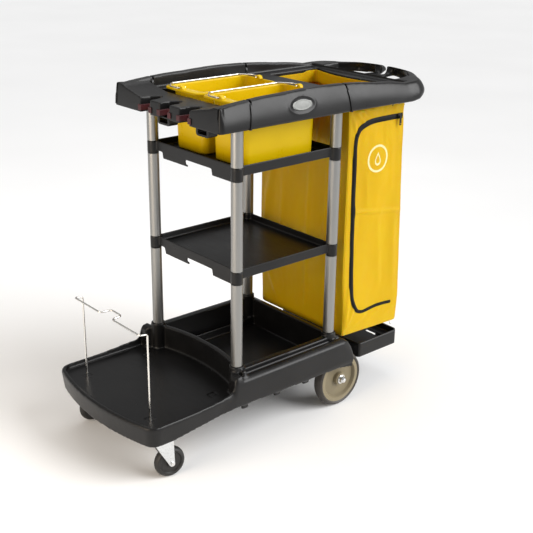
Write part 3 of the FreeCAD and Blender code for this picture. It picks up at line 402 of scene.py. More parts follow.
def plan_depth(points, outline):
    """How far points lie inside a convex outline, and the outward direction of the nearest side."""
    start, end = outline, np.roll(outline, -1, axis=0)
    along = end - start
    along /= np.linalg.norm(along, axis=1)[:, None]
    outward = np.stack([along[:, 1], -along[:, 0]], axis=1)
    middle = outline.mean(axis=0)
    if np.mean(np.sum((start - middle) * outward, axis=1)) < 0:
        outward = -outward
    depth = np.sum(start * outward, axis=1)[None, :] - points[:, :2] @ outward.T
    nearest = depth.min(axis=1)
    share = np.exp(-(depth - nearest[:, None]) / CORNER_BLEND)
    direction = share @ outward
    direction /= np.linalg.norm(direction, axis=1)[:, None]
    return nearest, direction


def profile(x, knots):
    """A height read off a side profile given as (x, z) knots in millimetres."""
    xs, zs = zip(*sorted(knots))
    return np.interp(x, np.array(xs) * MM, np.array(zs) * MM)


def rounded_ring(x0, x1, y0, y1, radius, per_corner=10):
    """Points round a rounded rectangle, anticlockwise from the middle of its low-y side."""
    points = [((x0 + x1) / 2, y0)]
    for cx, cy, start in ((x1 - radius, y0 + radius, -90), (x1 - radius, y1 - radius, 0),
                          (x0 + radius, y1 - radius, 90), (x0 + radius, y0 + radius, 180)):
        for i in range(per_corner + 1):
            angle = math.radians(start + 90.0 * i / per_corner)
            points.append((cx + radius * math.cos(angle), cy + radius * math.sin(angle)))
    return points


def loft(name, rings, capped=True):
    """A skin through rings of equal point counts, closed at the first and, if capped, at the last."""
    n = len(rings[0])
    points = [p for ring in rings for p in ring]
    faces = []
    for level in range(len(rings) - 1):
        low, high = level * n, (level + 1) * n
        faces += [(low + i, low + (i + 1) % n, high + (i + 1) % n, high + i) for i in range(n)]
    faces.append(tuple(range(n))[::-1])
    if capped:
        faces.append(tuple(range(len(points) - n, len(points))))
    return mesh_piece(name, points, faces)


def evened_faces(item, merge=0.0):
    """Turns an object's faces outward, after joining points closer than merge."""
    form = bmesh.new()
    form.from_mesh(item.data)
    if merge:
        bmesh.ops.remove_doubles(form, verts=form.verts, dist=merge)
    bmesh.ops.recalc_face_normals(form, faces=form.faces)
    form.to_mesh(item.data)
    form.free()


def nurbs(name, places, order=None):
    """A curve object along a NURBS line near the places, in metres."""
    data = bpy.data.curves.new(name, "CURVE")
    data.dimensions = "3D"
    spline = data.splines.new("NURBS")
    spline.points.add(len(places) - 1)
    for point, place in zip(spline.points, places):
        point.co = (*place, 1.0)
    if order:
        spline.order_u = order
    spline.use_endpoint_u = True
    return collection_link(bpy.data.objects.new(name, data))


# ---------------- top frame

# The frame's lower and upper edges seen from the side, as (x, z) in millimetres.
FRAME_LOW = [(-352, 1071), (197, 1071), (468, 1067), (510, 1069), (560, 1080), (600, 1093), (660, 1106)]
FRAME_HIGH = [(-352, 1143), (-334, 1144), (-211, 1154.3), (-88, 1158), (113, 1160.3), (314, 1145),
              (386, 1138.5), (458, 1129), (598, 1133), (660, 1129)]
RAIL_WIDTH = 46 * MM
RAIL_FOOT, RAIL_HEAD = 1.071, 1.15
BADGE_X = -0.034


def rail_inset(t):
    """How far the rail's face leans in at a share t of its height: a barrel, upright low down."""
    t = np.clip(t, 0.0, 1.0)
    return (21.0 * t ** 2.2 + 3.0 * np.clip(1.0 - t / 0.12, 0, 1) ** 2) * MM


def handle_inset(t):
    """The same for the push handle, rounded above and below."""
    t = np.clip(t, 0.0, 1.0)
    return (24.0 * t ** 1.9 + 12.0 * np.clip(1.0 - t / 0.4, 0, 1) ** 2) * MM


def shape_frame(points, outline):
    """Gives the frame's outer face its barrel, strongest at the outline and gone a rail's width inside."""
    depth, out = plan_depth(points, outline)
    low, high = profile(points[:, 0], FRAME_LOW), profile(points[:, 0], FRAME_HIGH)
    t = (points[:, 2] - low) / (high - low)
    sideways = ramp_between(out[:, 0], -0.9, -0.35)
    rear = ramp_between(points[:, 0], 0.46, 0.56)
    inset = rail_inset(t) * (1 - rear) + handle_inset(t) * rear
    front_lean = 5 * MM * np.clip(t, 0, 1) ** 2.5
    inset = inset * sideways + front_lean * (1 - sideways)
    hold = 1.0 - ramp_between(depth, 0.0, RAIL_WIDTH)
    moved = points.copy()
    moved[:, :2] -= out * (inset * hold)[:, None]
    return moved


def grooved(item, at, facing, half, deep, chosen):
    """Sinks the band of surface between two close parallel planes, with crisp edges."""
    form = bmesh.new()
    form.from_mesh(item.data)
    band = [face for face in form.faces
            if abs((face.verts[0].co - at).dot(facing)) < half + 9 * MM and chosen(face.verts[0].co)]
    for offset in (-half - 0.5 * MM, -half, half, half + 0.5 * MM):
        band = [face for face in band if face.is_valid]
        parts = set(band)
        for face in band:
            parts.update(face.edges)
            parts.update(face.verts)
        cut = bmesh.ops.bisect_plane(
            form, geom=list(parts), dist=1e-6, plane_co=at + facing * offset, plane_no=facing)
        band = [part for part in cut["geom"] if isinstance(part, bmesh.types.BMFace)]
    form.normal_update()
    moves = {}
    for face in band:
        for vert in face.verts:
            if abs((vert.co - at).dot(facing)) <= half + 0.05 * MM and chosen(vert.co):
                moves[vert] = vert.co - vert.normal * deep
    for vert, place in moves.items():
        vert.co = place
    form.to_mesh(item.data)
    form.free()


def rail_groove(item, side, x_low, x_high):
    """A black parting groove round the outside of a side rail."""
    low = Vector((x_low * MM, 0.0, RAIL_FOOT))
    high = Vector((x_high * MM, 0.0, RAIL_HEAD))
    facing = Vector((high.z - low.z, 0.0, low.x - high.x)).normalized()

    def on_rail(p):
        return p.y * side > 0.228 and p.z > RAIL_FOOT + 1.5 * MM

    grooved(item, low, facing, 3.3 * MM, 8.0 * MM, on_rail)


def corner_groove(item, side):
    """The upright groove where the front panel meets the rail's end."""
    low = Vector((0.0, side * 0.2655, RAIL_FOOT))
    high = Vector((0.0, side * 0.259, 1.143))
    facing = Vector((0.0, high.z - low.z, low.y - high.y)).normalized()

    def on_corner(p):
        return p.x < -0.338 and p.z > RAIL_FOOT + 3.0 * MM and p.y * side > 0.2

    grooved(item, low, facing, 2.6 * MM, 7.0 * MM, on_corner)


def crowned_handle(points):
    """The push bar's slight rise towards its middle, and its full outer corners."""
    x, y, z = points[:, 0], np.abs(points[:, 1]), points[:, 2]
    rise = ramp_between(x, 0.50, 0.60) * (1.0 + 5.0 * (1 - ramp_between(y, 0.02, 0.2))) * MM
    moved = points.copy()
    moved[:, 2] += rise * np.clip((z - 1.08) / (30 * MM), 0, 1)
    moved[:, 0] += 14 * MM * ramp_between(x, 0.57, 0.63) * ramp_between(y, 0.06, 0.17)
    return moved


def badge_bezel(points):
    """A shallow oval dish with a raised lip round each badge."""
    moved = points.copy()
    for side in (-1.0, 1.0):
        u = (points[:, 0] - BADGE_X) / (54 * MM)
        v = (points[:, 2] - 1.1185) / (27 * MM)
        r = np.sqrt(u * u + v * v)
        on_face = points[:, 1] * side > 0.262
        lip = np.exp(-((r - 0.98) / 0.09) ** 2) * 1.6 * MM
        dish = (1.0 - ramp_between(r, 0.62, 0.95)) * 2.2 * MM
        moved[:, 1] += side * (lip - dish) * on_face
    return moved


frame_piece = moulded("top_frame", "top_frame_moulding", 3.0, 3)
frame_outline = plan_hull(coordinates(bpy.data.objects["top_frame"]))
points = shape_frame(coordinates(frame_piece), frame_outline)
points = relaxed(points, edge_pairs(frame_piece), 8, ramp_between(points[:, 0], 0.47, 0.53))
points = crowned_handle(points)
set_coordinates(frame_piece, badge_bezel(points))
for side in (1.0, -1.0):
    rail_groove(frame_piece, side, -242, -228)
    rail_groove(frame_piece, side, 176, 164)
    corner_groove(frame_piece, side)
finished(smoothed(frame_piece), "black_moulding", "chassis", "top_frame")

# ---------------- moulded base

# The base's upper edge seen from the side, as (x, z) in millimetres.
BASE_TOP = [(-660, 213), (-502, 213), (-402, 217), (-312, 224), (-296, 233), (-289, 262), (-280, 274),
            (-239, 280), (167, 278), (198, 270), (219, 254), (236, 234), (246, 214)]


def shape_base(points, outline):
    """Leans the deck's rim outward and rounds the flanks of the bin well."""
    depth, out = plan_depth(points, outline)
    x, z = points[:, 0], points[:, 2]
    top = profile(x, BASE_TOP)
    nose = 1.0 - ramp_between(x, -0.36, -0.29)
    lean = 9 * MM * np.clip((top - z) / (70 * MM), 0, 1) * nose
    lip = 3.0 * MM * ramp_between(z, top - 7 * MM, top) * nose
    shoulder = np.clip((z - (top - 44 * MM)) / (44 * MM), 0, 1)
    barrel = 9 * MM * shoulder ** 2.4 * (1 - nose)
    foot = 4 * MM * np.clip((0.185 - z) / (20 * MM), 0, 1) ** 2 * (1 - nose)
    hold = 1.0 - ramp_between(depth, 0.0, 30 * MM)
    moved = points.copy()
    moved[:, :2] -= out * ((lean + lip + barrel + foot) * hold)[:, None]
    return moved


SOCKET_X = (-561 * MM, -317 * MM)
SOCKET_SIDE = 185 * MM
DECK_FLOOR = 196 * MM


def socket_marks(points):
    """Shallow square dishes round the four rack sockets in the deck floor."""
    moved = points.copy()
    on_floor = np.abs(points[:, 2] - DECK_FLOOR) < 2.5 * MM
    for x in SOCKET_X:
        for y in (-SOCKET_SIDE, SOCKET_SIDE):
            inside = (np.abs(points[:, 0] - x) < 15 * MM) & (np.abs(points[:, 1] - y) < 11 * MM)
            moved[:, 2] -= 2.0 * MM * (inside & on_floor)
    return moved


base_piece = moulded("base_deck", "base_moulding", 3.0, 3)
base_outline = plan_hull(coordinates(bpy.data.objects["base_deck"]))
points = shape_base(coordinates(base_piece), base_outline)
outer = plan_depth(points, base_outline)[0]
upper_rim = (1.0 - ramp_between(outer, 0.03, 0.05)) * (points[:, 2] > 0.19)
points = relaxed(points, edge_pairs(base_piece), 8, upper_rim)
set_coordinates(base_piece, socket_marks(points))
finished(smoothed(base_piece), "black_moulding", "chassis", "base_deck")

# ---------------- trays, platform and small mouldings

for node, voxel, rounds, slot in (
    ("middle_shelf", 2.6, 3, "black_moulding"), ("upper_shelf", 2.6, 3, "black_moulding"),
    ("rear_platform", 2.6, 5, "black_moulding"),
    ("utility_hook_left", 1.0, 4, "hook_plastic"), ("utility_hook_right", 1.0, 4, "hook_plastic"),
    ("tool_grip_left", 0.7, 3, "grip_rubber"), ("tool_grip_centre", 0.7, 3, "grip_rubber"),
    ("tool_grip_right", 0.7, 3, "grip_rubber"),
):
    piece = moulded(node, f"{node}_moulding", voxel, rounds)
    finished(smoothed(piece), slot, BODY_OF[node], node)


# ---------------- badges in their dishes

for side_name, side in SIDES:
    badge = moulded(f"side_badge_{side_name}", f"badge_{side_name}_plate", 0.7, 2)
    points = shape_frame(coordinates(badge), frame_outline)
    u = (points[:, 0] - BADGE_X) / (40 * MM)
    v = (points[:, 2] - 1.119) / (16 * MM)
    r = np.sqrt(u * u + v * v)
    lip = 0.5 * MM * np.exp(-((r - 0.86) / 0.06) ** 2)
    points[:, 1] += side * (lip - 1.5 * MM)
    set_coordinates(badge, points)
    finished(smoothed(badge), "badge_plate", "chassis", f"side_badge_{side_name}")

# ---------------- pails

PAIL_MIDDLE = -36.0
PAIL_TOP = 1130.0
PAIL_LEAN = math.tan(math.radians(1.6))


def pail_wall(z, inset, centre_y):
    """A ring of the pail's tapered wall, pulled in by inset, in metres."""
    narrow = (PAIL_TOP - z) * PAIL_LEAN + inset
    half_x, half_y = 153.5 - narrow, 83.0 - narrow
    corner = max(26.0 - inset, 6.0)
    x0, x1 = PAIL_MIDDLE - half_x, PAIL_MIDDLE + half_x
    ring = rounded_ring(x0, x1, centre_y - half_y, centre_y + half_y, corner)
    return [(x * MM, y * MM, z * MM) for x, y in ring]


def pail_lip(z, inset, centre_y):
    """A ring of the pail's rolled rim."""
    half_y = 92.0 - inset
    ring = rounded_ring(-220.0 + inset, 118.0 - inset, centre_y - half_y, centre_y + half_y, 30.0 - inset)
    return [(x * MM, y * MM, z * MM) for x, y in ring]


# (height, inset) of each ring of the tub, in millimetres.
PAIL_OUTSIDE = [
    (925.4, 60.0), (925.4, 22.0), (925.4, 9.0), (925.9, 4.6), (927.4, 1.8), (930.0, 0.4),
    *[(z, 0.0) for z in (933.0, 960.0, 990.0, 1020.0, 1050.0, 1080.0, 1100.0, 1116.0)],
    (1121.0, 0.2), (1122.6, -0.1),
]
PAIL_RIM = [(1122.9, 1.0), (1123.6, 0.2), (1125.0, 0.0), (1128.4, 0.0), (1129.5, 0.4), (1130.0, 1.4)]
PAIL_INSIDE = [(1130.0, 2.7), (1129.4, 3.4), (1127.5, 3.9), (1124.0, 4.0), (1100.0, 3.6), (1060.0, 3.2),
               (1020.0, 3.0), (980.0, 2.8), (945.0, 2.8), (937.0, 3.4), (932.5, 5.4), (929.6, 9.0),
               (928.4, 14.0), (928.2, 30.0), (928.2, 60.0)]


def pail_form(name, centre_y):
    """The tub: its outside up from the floor, over the rim and down its inside."""
    rings = [pail_wall(z, inset, centre_y) for z, inset in PAIL_OUTSIDE]
    rings += [pail_lip(z, inset, centre_y) for z, inset in PAIL_RIM]
    rings += [pail_wall(z, inset, centre_y) for z, inset in PAIL_INSIDE]
    return loft(name, rings)


def ear(name, x, centre_y):
    """The lug that a pail's wire handle turns in."""
    half, radius, level, count = 7.0, 2.42, 1135.0, 36
    outer, hole = [], []
    for i in range(count):
        angle = 2 * math.pi * i / count
        c, s = math.cos(angle), math.sin(angle)
        if s < 0:
            reach = min(14.0 / max(abs(c), 1e-6), -6.0 / s)
        else:
            reach = 1.0 / math.hypot(c / 12.5, s / 6.8)
        outer.append((centre_y + reach * c, level + reach * s))
        hole.append((centre_y + radius * c, level + radius * s))
    points = [((x + side * half) * MM, y * MM, z * MM)
              for side in (-1, 1) for ring in (outer, hole) for y, z in ring]
    faces = []
    for i in range(count):
        j = (i + 1) % count
        o0, h0, o1, h1 = 0, count, 2 * count, 3 * count
        faces += [(o0 + i, h0 + i, h0 + j, o0 + j), (o1 + i, o1 + j, h1 + j, h1 + i),
                  (o0 + i, o0 + j, o1 + j, o1 + i), (h0 + i, h1 + i, h1 + j, h0 + j)]
    return mesh_piece(name, points, faces)


def joined(name, pieces):
    """One object from several."""
    form = bmesh.new()
    for piece in pieces:
        form.from_mesh(piece.data)
        bpy.data.meshes.remove(piece.data)
    mesh = bpy.data.meshes.new(name)
    bmesh.ops.recalc_face_normals(form, faces=form.faces)
    form.to_mesh(mesh)
    form.free()
    return collection_link(bpy.data.objects.new(name, mesh))


def bevelled(item, width):
    """The object with its sharper edges rounded off."""
    bevel = item.modifiers.new("edges", "BEVEL")
    bevel.width = width * MM
    bevel.segments = 2
    bevel.limit_method = "ANGLE"
    bevel.angle_limit = math.radians(35.0)
    return applied(item)


EAR_X = (-211.0, 109.0)

for side_name, centre_y in (("left", 100.0), ("right", -100.0)):
    ears = [bevelled(ear(f"ear_{side_name}_{i}", x, centre_y), 1.2) for i, x in enumerate(EAR_X)]
    piece = joined(f"pail_{side_name}_tub", [pail_form(f"tub_{side_name}", centre_y)] + ears)
    finished(smoothed(piece, 50.0), "yellow_pail", f"pail_{side_name}", f"pail_{side_name}")

# ---------------- waste bag

# (z, x) of the bag's front and back, and (z, y) of its sides, in millimetres.
BAG_FRONT = [(240, 238), (300, 239), (363, 238), (458, 229), (700, 229), (926, 231), (1060, 228)]
BAG_REAR = [(240, 520), (300, 521), (385, 519), (700, 508), (926, 498), (1060, 494)]
BAG_SIDE = [(240, 217), (300, 219), (420, 219), (980, 218), (1040, 217), (1060, 215)]
MOUTH_FRONT, MOUTH_BACK, MOUTH_SIDE_BACK, MOUTH_WIDE = 251.0, 430.0, 470.0, 193.0
# (z, share) of the way from the body's section to the mouth's.
NECK = [(1055.0, 0.02), (1059.0, 0.1), (1062.5, 0.3), (1065.0, 0.6), (1067.0, 0.88), (1069.5, 1.0)]
BAG_MIDDLE = np.array([0.37, 0.0])
X_COUNT, Y_COUNT, CORNER_COUNT = 58, 92, 7


def knots(z, table):
    """A smooth reading of (z, value) knots in millimetres."""
    zs, values = zip(*table)
    total = sum(np.interp(z + shift, zs, values) for shift in (-36, -18, 0, 18, 36))
    return float(total) / 5.0


def on_circle(middle, radius, degrees):
    """The point of a circle at an angle from +x."""
    angle = math.radians(degrees)
    return middle[0] + radius * math.cos(angle), middle[1] + radius * math.sin(angle)


def bag_section(x0, x1, half, radius, bow=0.0):
    """One level of the bag, anticlockwise from the near front corner. bow pulls its back forward."""
    corners = [((x0 + radius, -half + radius), 180), ((x1 - radius, -half + radius), 270),
               ((x1 - radius, half - radius), 0), ((x0 + radius, half - radius), 90)]
    spans = [X_COUNT, Y_COUNT, X_COUNT, Y_COUNT]
    ring = []
    for k, (middle, start) in enumerate(corners):
        arc = [on_circle(middle, radius, start + 90 * i / CORNER_COUNT) for i in range(CORNER_COUNT + 1)]
        ring += arc
        last, ahead = arc[-1], on_circle(corners[(k + 1) % 4][0], radius, corners[(k + 1) % 4][1])
        for i in range(1, spans[k]):
            share = i / spans[k]
            ring.append((last[0] + (ahead[0] - last[0]) * share, last[1] + (ahead[1] - last[1]) * share))
    if bow:
        middle_x = (x0 + x1) / 2
        ring = [(x - bow * (1 - (y / half) ** 2) * ramp(x, middle_x, x1), y) for x, y in ring]
    return ring


def ramp(value, low, high):
    """Zero below low, one above high, and straight between."""
    return min(max((value - low) / (high - low), 0.0), 1.0)


def bag_levels():
    """(height, ring) pairs from the middle of the bottom up to the hem, in millimetres."""
    levels = []
    full = bag_section(knots(262, BAG_FRONT), knots(262, BAG_REAR), knots(262, BAG_SIDE), 9.0)
    middle_x = 377.0
    for share in (0.03, 0.2, 0.4, 0.6, 0.75, 0.87):
        levels.append((241.0, [(middle_x + (x - middle_x) * share, y * share) for x, y in full]))
    for z, pull in ((240.4, 6.0), (241.4, 3.4), (243.5, 1.6), (248.0, 0.6), (254.0, 0.2)):
        levels.append((z, bag_section(
            knots(z, BAG_FRONT) + pull, knots(z, BAG_REAR) - pull, knots(z, BAG_SIDE) - pull, 9.0)))
    z = 259.0
    while z < 1052.0:
        levels.append((z, bag_section(knots(z, BAG_FRONT), knots(z, BAG_REAR), knots(z, BAG_SIDE), 9.0)))
        z += 4.6
    bow = MOUTH_SIDE_BACK - MOUTH_BACK
    for z, share in NECK:
        x0 = knots(z, BAG_FRONT) * (1 - share) + MOUTH_FRONT * share
        x1 = knots(z, BAG_REAR) * (1 - share) + MOUTH_SIDE_BACK * share
        half = knots(z, BAG_SIDE) * (1 - share) + MOUTH_WIDE * share
        levels.append((z, bag_section(x0, x1, half, 9.0 + 6.0 * share, bow * share)))
    z = 1074.0
    while z <= 1107.0:
        levels.append((z, bag_section(MOUTH_FRONT, MOUTH_SIDE_BACK, MOUTH_WIDE, 15.0, bow)))
        z += 4.5
    return levels


def crinkle(p, across, up, power):
    """Sharp-crested noise in creases stretched along one direction."""
    value = noise.noise(Vector((p[0] * across, p[1] * across, p[2] * up)))
    return (1.0 - abs(value) * 2.0) ** power if abs(value) < 0.5 else 0.0


NEAR_FOLDS = [  # x, z to x, z in mm on the bag's sides, then the fold's height and width
    (266, 706, 400, 684, 2.2, 7), (400, 684, 500, 670, 2.0, 8),
    (246, 250, 292, 352, 3.0, 9), (250, 262, 262, 420, 2.4, 8), (262, 252, 350, 300, 2.6, 9),
    (330, 250, 420, 306, 1.6, 8), (430, 262, 505, 300, 1.6, 10),
    (240, 1052, 262, 980, 3.2, 7), (252, 1056, 296, 1012, 3.0, 7), (270, 1057, 320, 1026, 2.6, 7),
    (300, 1058, 350, 1036, 2.0, 7), (244, 1010, 254, 900, 2.2, 8), (390, 660, 410, 420, 1.5, 14),
    (470, 650, 485, 380, 1.6, 14), (320, 830, 330, 720, 1.4, 12), (440, 990, 450, 760, 1.3, 14),
]
FRONT_FOLDS = [  # the same for the bag's front and back, as y, z to y, z
    (-40, 1030, -24, 300, 1.6, 10), (90, 900, 104, 420, 1.6, 14), (-130, 980, -120, 560, 1.8, 12),
    (150, 820, 206, 560, 3.4, 16), (196, 700, 214, 470, 3.0, 12), (-196, 420, -110, 268, 2.6, 12),
    (190, 400, 110, 262, 2.4, 12), (30, 1020, 60, 800, 2.0, 12), (-90, 1040, -60, 900, 2.4, 9),
    (120, 1040, 150, 930, 2.4, 9), (-20, 620, 80, 520, 1.6, 16), (-180, 760, -60, 640, 1.5, 16),
]


def fold_height(across, z, folds):
    """The joint height of soft ridges along straight lines, in millimetres."""
    total = np.zeros(len(z))
    for a0, z0, a1, z1, height, width in folds:
        run, rise = a1 - a0, z1 - z0
        share = np.clip(((across - a0) * run + (z - z0) * rise) / (run * run + rise * rise), 0.0, 1.0)
        gap = np.hypot(across - a0 - share * run, z - z0 - share * rise)
        fade = 0.35 + 0.65 * np.sin(math.pi * (0.12 + 0.76 * share))
        total += 1.8 * height * np.exp(-(gap / width) ** 2) * fade
    return total


def bag_folds(points):
    """How far the vinyl stands out or in, in metres, at each point of the body."""
    x, y, z = points[:, 0], points[:, 1], points[:, 2]
    body = np.clip((z - 0.262) / 0.05, 0, 1) * np.clip((1.062 - z) / 0.012, 0, 1)
    near, far = y < -0.19, y > 0.19
    out = np.zeros(len(points))
    for i, p in enumerate(points):
        if body[i] == 0.0:
            continue
        broad = noise.noise(Vector((p[0] * 6.0 + 3.1, p[1] * 6.0, p[2] * 2.6)))
        middle = noise.noise(Vector((p[0] * 15.0, p[1] * 15.0 + 7.0, p[2] * 4.2 + 0.12 * p[0])))
        fine = noise.noise(Vector((p[0] * 42.0, p[1] * 42.0, p[2] * 14.0)))
        crease = crinkle((p[0] + 0.3 * p[2], p[1] + 0.2 * p[2], p[2]), 17.0, 8.0, 9)
        top = max(0.0, 1.0 - (1.058 - p[2]) / 0.16)
        low = max(0.0, 1.0 - (p[2] - 0.26) / 0.14)
        gather = noise.noise(Vector((p[0] * 55.0 + 9.0, p[1] * 55.0, p[2] * 7.0)))
        out[i] = (3.6 * broad + 3.0 * middle + 0.9 * fine
                  + top * (6.0 * gather + 2.6 * middle) + low * 2.4 * middle
                  + crease * (0.2 + 1.8 * top + 1.0 * low))
    calm = np.ones(len(points))
    lane = np.exp(-((z - 1.010) / 0.028) ** 2) * ramp_between(x, 0.30, 0.34) * near
    calm -= 0.93 * lane
    from_corner = np.minimum(np.minimum(np.abs(x - 0.234), np.abs(x - 0.508)) / 0.02, 1.0)
    edge = np.where(near | far, 0.35 + 0.65 * from_corner,
                    0.35 + 0.65 * np.clip((0.215 - np.abs(y)) / 0.05, 0, 1))
    door = near * ramp_between(x, 0.262, 0.272) * ramp_between(z, 0.325, 0.335)
    door *= 1 - ramp_between(z, 1.0, 1.01)
    flank = np.abs(y) > 0.2
    out += np.where(flank, fold_height(x / MM, z / MM, NEAR_FOLDS), fold_height(y / MM, z / MM, FRONT_FOLDS))
    return (out * calm * edge * body + 0.9 * door * body) * MM


def bag_form():
    """The bag's outer skin: its levels lofted, then folded, sagged at the foot and turned over at the hem."""
    levels = bag_levels()
    rings = [[(x * MM, y * MM, z * MM) for x, y in ring] for z, ring in levels]
    bag = loft("waste_bag_shell", rings, capped=False)
    points = coordinates(bag)
    normals = np.empty(len(points) * 3)
    bag.data.vertices.foreach_get("normal", normals)
    normals = normals.reshape(-1, 3)
    normals[:, 2] *= 0.3
    outward = np.sign(np.sum(normals[:, :2] * (points[:, :2] - BAG_MIDDLE), axis=1))
    normals *= outward[:, None]
    points = points + normals * bag_folds(points)[:, None]
    slope = np.clip((points[:, 0] - 0.24) / 0.27, 0, 1) * 11 * MM
    points[:, 2] -= (slope - 5 * MM) * np.clip((0.36 - points[:, 2]) / 0.11, 0, 1)
    points[:, 2] += 6 * MM * ramp_between(points[:, 0], 0.40, 0.425) * (points[:, 2] > 1.09)
    hem = ramp_between(points[:, 2], 1.091, 1.0925)
    points[:, :2] += normals[:, :2] * (hem * 0.7 * MM)[:, None]
    set_coordinates(bag, points)
    return bag


bag_piece = bag_form()
bag_tree = BVHTree.FromObject(bag_piece, bpy.context.evaluated_depsgraph_get())


def on_bag(x, z):
    """The point of the bag's near side at x and z, and the way it faces."""
    hit, facing, _, _ = bag_tree.ray_cast(Vector((x, -0.5, z)), Vector((0, 1, 0)))
    if facing.y > 0:
        facing = -facing
    return hit, facing


def swept(name, path, profile_points, turn_out):
    """A strip of the given cross-section along path, lying on the bag."""
    rings = []
    count = len(path)
    for i, (at, facing) in enumerate(path):
        ahead = path[min(i + 1, count - 1)][0] - path[max(i - 1, 0)][0]
        ahead.normalize()
        side = facing.cross(ahead).normalized()
        wide = 0.75 + 0.5 * ramp(at.z, 0.31, 0.40)
        rings.append([tuple(at + side * (u * wide * MM) + facing * (turn_out(i, u, v) * MM))
                      for u, v in profile_points])
    return loft(name, rings)


# The zipper's line on the bag's near side, as (x, z) in millimetres.
PATH_STEP = 1.25
ZIP_KNOTS = [(487, 1010), (440, 1010.5), (360, 1010.5), (322, 1008), (292, 1000), (270, 984), (260, 955),
             (261, 900), (262, 838), (263, 740), (264, 634), (267, 520), (270, 430), (277, 376), (297, 334),
             (326, 318), (365, 320), (424, 326), (484, 319)]


def smooth_line(knots_list, step):
    """Points about step apart along a NURBS line through the neighbourhood of the knots."""
    item = nurbs("line", [(x * MM, 0.0, z * MM) for x, z in knots_list], 3)
    item.data.resolution_u = 24
    mesh = bpy.data.meshes.new_from_object(item.evaluated_get(bpy.context.evaluated_depsgraph_get()))
    path = np.array([tuple(v.co) for v in mesh.vertices])
    bpy.data.curves.remove(item.data)
    bpy.data.meshes.remove(mesh)
    length = np.concatenate([[0], np.cumsum(np.linalg.norm(np.diff(path, axis=0), axis=1))])
    wanted = np.arange(0, length[-1], step)
    return np.stack([np.interp(wanted, length, path[:, k]) for k in range(3)], axis=1)


def windows(values, width):
    """Each value with its neighbours, width of them in all."""
    padded = np.pad(values, width // 2, mode="edge")
    return np.lib.stride_tricks.sliding_window_view(padded, width)


def on_surface_path(line, half):
    """The line laid on the bag, clear of the small folds that a band of this half width crosses."""
    ahead = np.gradient(line, axis=0)
    across = np.stack([-ahead[:, 2], ahead[:, 0]], axis=1)
    across *= half / np.linalg.norm(across, axis=1)[:, None]
    hits = [on_bag(x, z) for x, _, z in line]
    facings = np.array([tuple(facing) for _, facing in hits])
    depth = np.array([
        min(on_bag(x + side * dx, z + side * dz)[0].y for side in (-1.0, 0.0, 1.0))
        for (x, _, z), (dx, dz) in zip(line, across)])
    for k in range(3):
        facings[:, k] = windows(facings[:, k], 33).mean(axis=1)
    depth = windows(windows(depth, 17).min(axis=1), 17).mean(axis=1)
    return [(Vector((x, y, z)), Vector(f).normalized()) for (x, _, z), y, f in zip(line, depth, facings)]


zip_path = on_surface_path(smooth_line(ZIP_KNOTS, PATH_STEP * MM), 6.5 * MM)
TAPE = [(-7.4, -2.2), (-7.4, 0.35), (-6.8, 0.6), (-2.7, 0.7), (-2.4, 1.2), (-1.6, 1.9), (0.0, 2.1),
        (1.6, 1.9), (2.4, 1.2), (2.7, 0.7), (6.8, 0.6), (7.4, 0.35), (7.4, -2.2)]


def toothed(i, u, v):
    """The tape's section at step i: every other step of its raised middle is lower."""
    return v * (0.72 + 0.28 * (i % 2)) if abs(u) < 2.5 and v > 1.0 else v


zipper = swept("zipper_tape_strip", zip_path, TAPE, toothed)
evened_faces(zipper)
finished(smoothed(zipper, 50.0), "zipper_black", "chassis", "zipper_tape")


STITCH_PITCH, STITCH_LENGTH = 4.2, 2.6
# (along, across, up) of a stitch's points: along in half lengths, the others in millimetres.
STITCH = [(-1, -0.32, 0.05), (-1, 0.32, 0.05), (0, 0.36, 0.5),
          (0, -0.36, 0.5), (1, -0.32, 0.05), (1, 0.32, 0.05)]


def stitches(name, path, offset):
    """A row of short thread stitches beside a line on the bag."""
    points, faces = [], []
    step = round(STITCH_PITCH / PATH_STEP)
    for i in range(step, len(path) - step, step):
        at, facing = path[i]
        ahead = (path[i + 1][0] - path[i - 1][0]).normalized()
        side = facing.cross(ahead).normalized()
        middle = at + side * (offset * MM)
        base, _ = on_bag(middle.x, middle.z)
        start = len(points)
        for a, b, c in STITCH:
            flat = base + ahead * (a * STITCH_LENGTH / 2 * MM) + side * (b * MM)
            points.append(tuple(flat + facing * (c * MM)))
        faces += [(start, start + 1, start + 2, start + 3), (start + 3, start + 2, start + 5, start + 4)]
    return mesh_piece(name, points, faces)


stitch_rows = [stitches(f"stitch_{i}", zip_path, offset) for i, offset in enumerate((-8.2, 8.2))]
stitch_piece = joined("zipper_stitching", stitch_rows)
solid = stitch_piece.modifiers.new("thread", "SOLIDIFY")
solid.thickness = 0.35 * MM
applied(stitch_piece)
finished(smoothed(stitch_piece), "yellow_vinyl", "chassis")


def corner_piping():
    """The four upright corner seams of the bag, as slim raised cords."""
    count = 2 * X_COUNT + 2 * Y_COUNT + 4 * CORNER_COUNT
    starts = [CORNER_COUNT // 2]
    for span in (X_COUNT, Y_COUNT, X_COUNT):
        starts.append(starts[-1] + CORNER_COUNT + span)
    points = coordinates(bag_piece)
    rows = len(points) // count
    pieces = []
    for k, column in enumerate(starts):
        line = np.array([points[row * count + column] for row in range(8, rows)])
        line = line[line[:, 2] < 1.058]
        rings = []
        for at in line:
            out = np.sign(at[:2] - BAG_MIDDLE) / math.sqrt(2.0)
            across = np.array([-out[1], out[0]])
            ring = []
            for j in range(8):
                a = 2 * math.pi * j / 8
                offset = out * (0.3 + 1.3 * math.cos(a)) + across * (1.5 * math.sin(a))
                ring.append((at[0] + offset[0] * MM, at[1] + offset[1] * MM, at[2]))
            rings.append(ring)
        pieces.append(loft(f"piping_{k}", rings))
    return joined("bag_corner_piping", pieces)


finished(smoothed(corner_piping(), 60.0), "yellow_vinyl", "chassis")


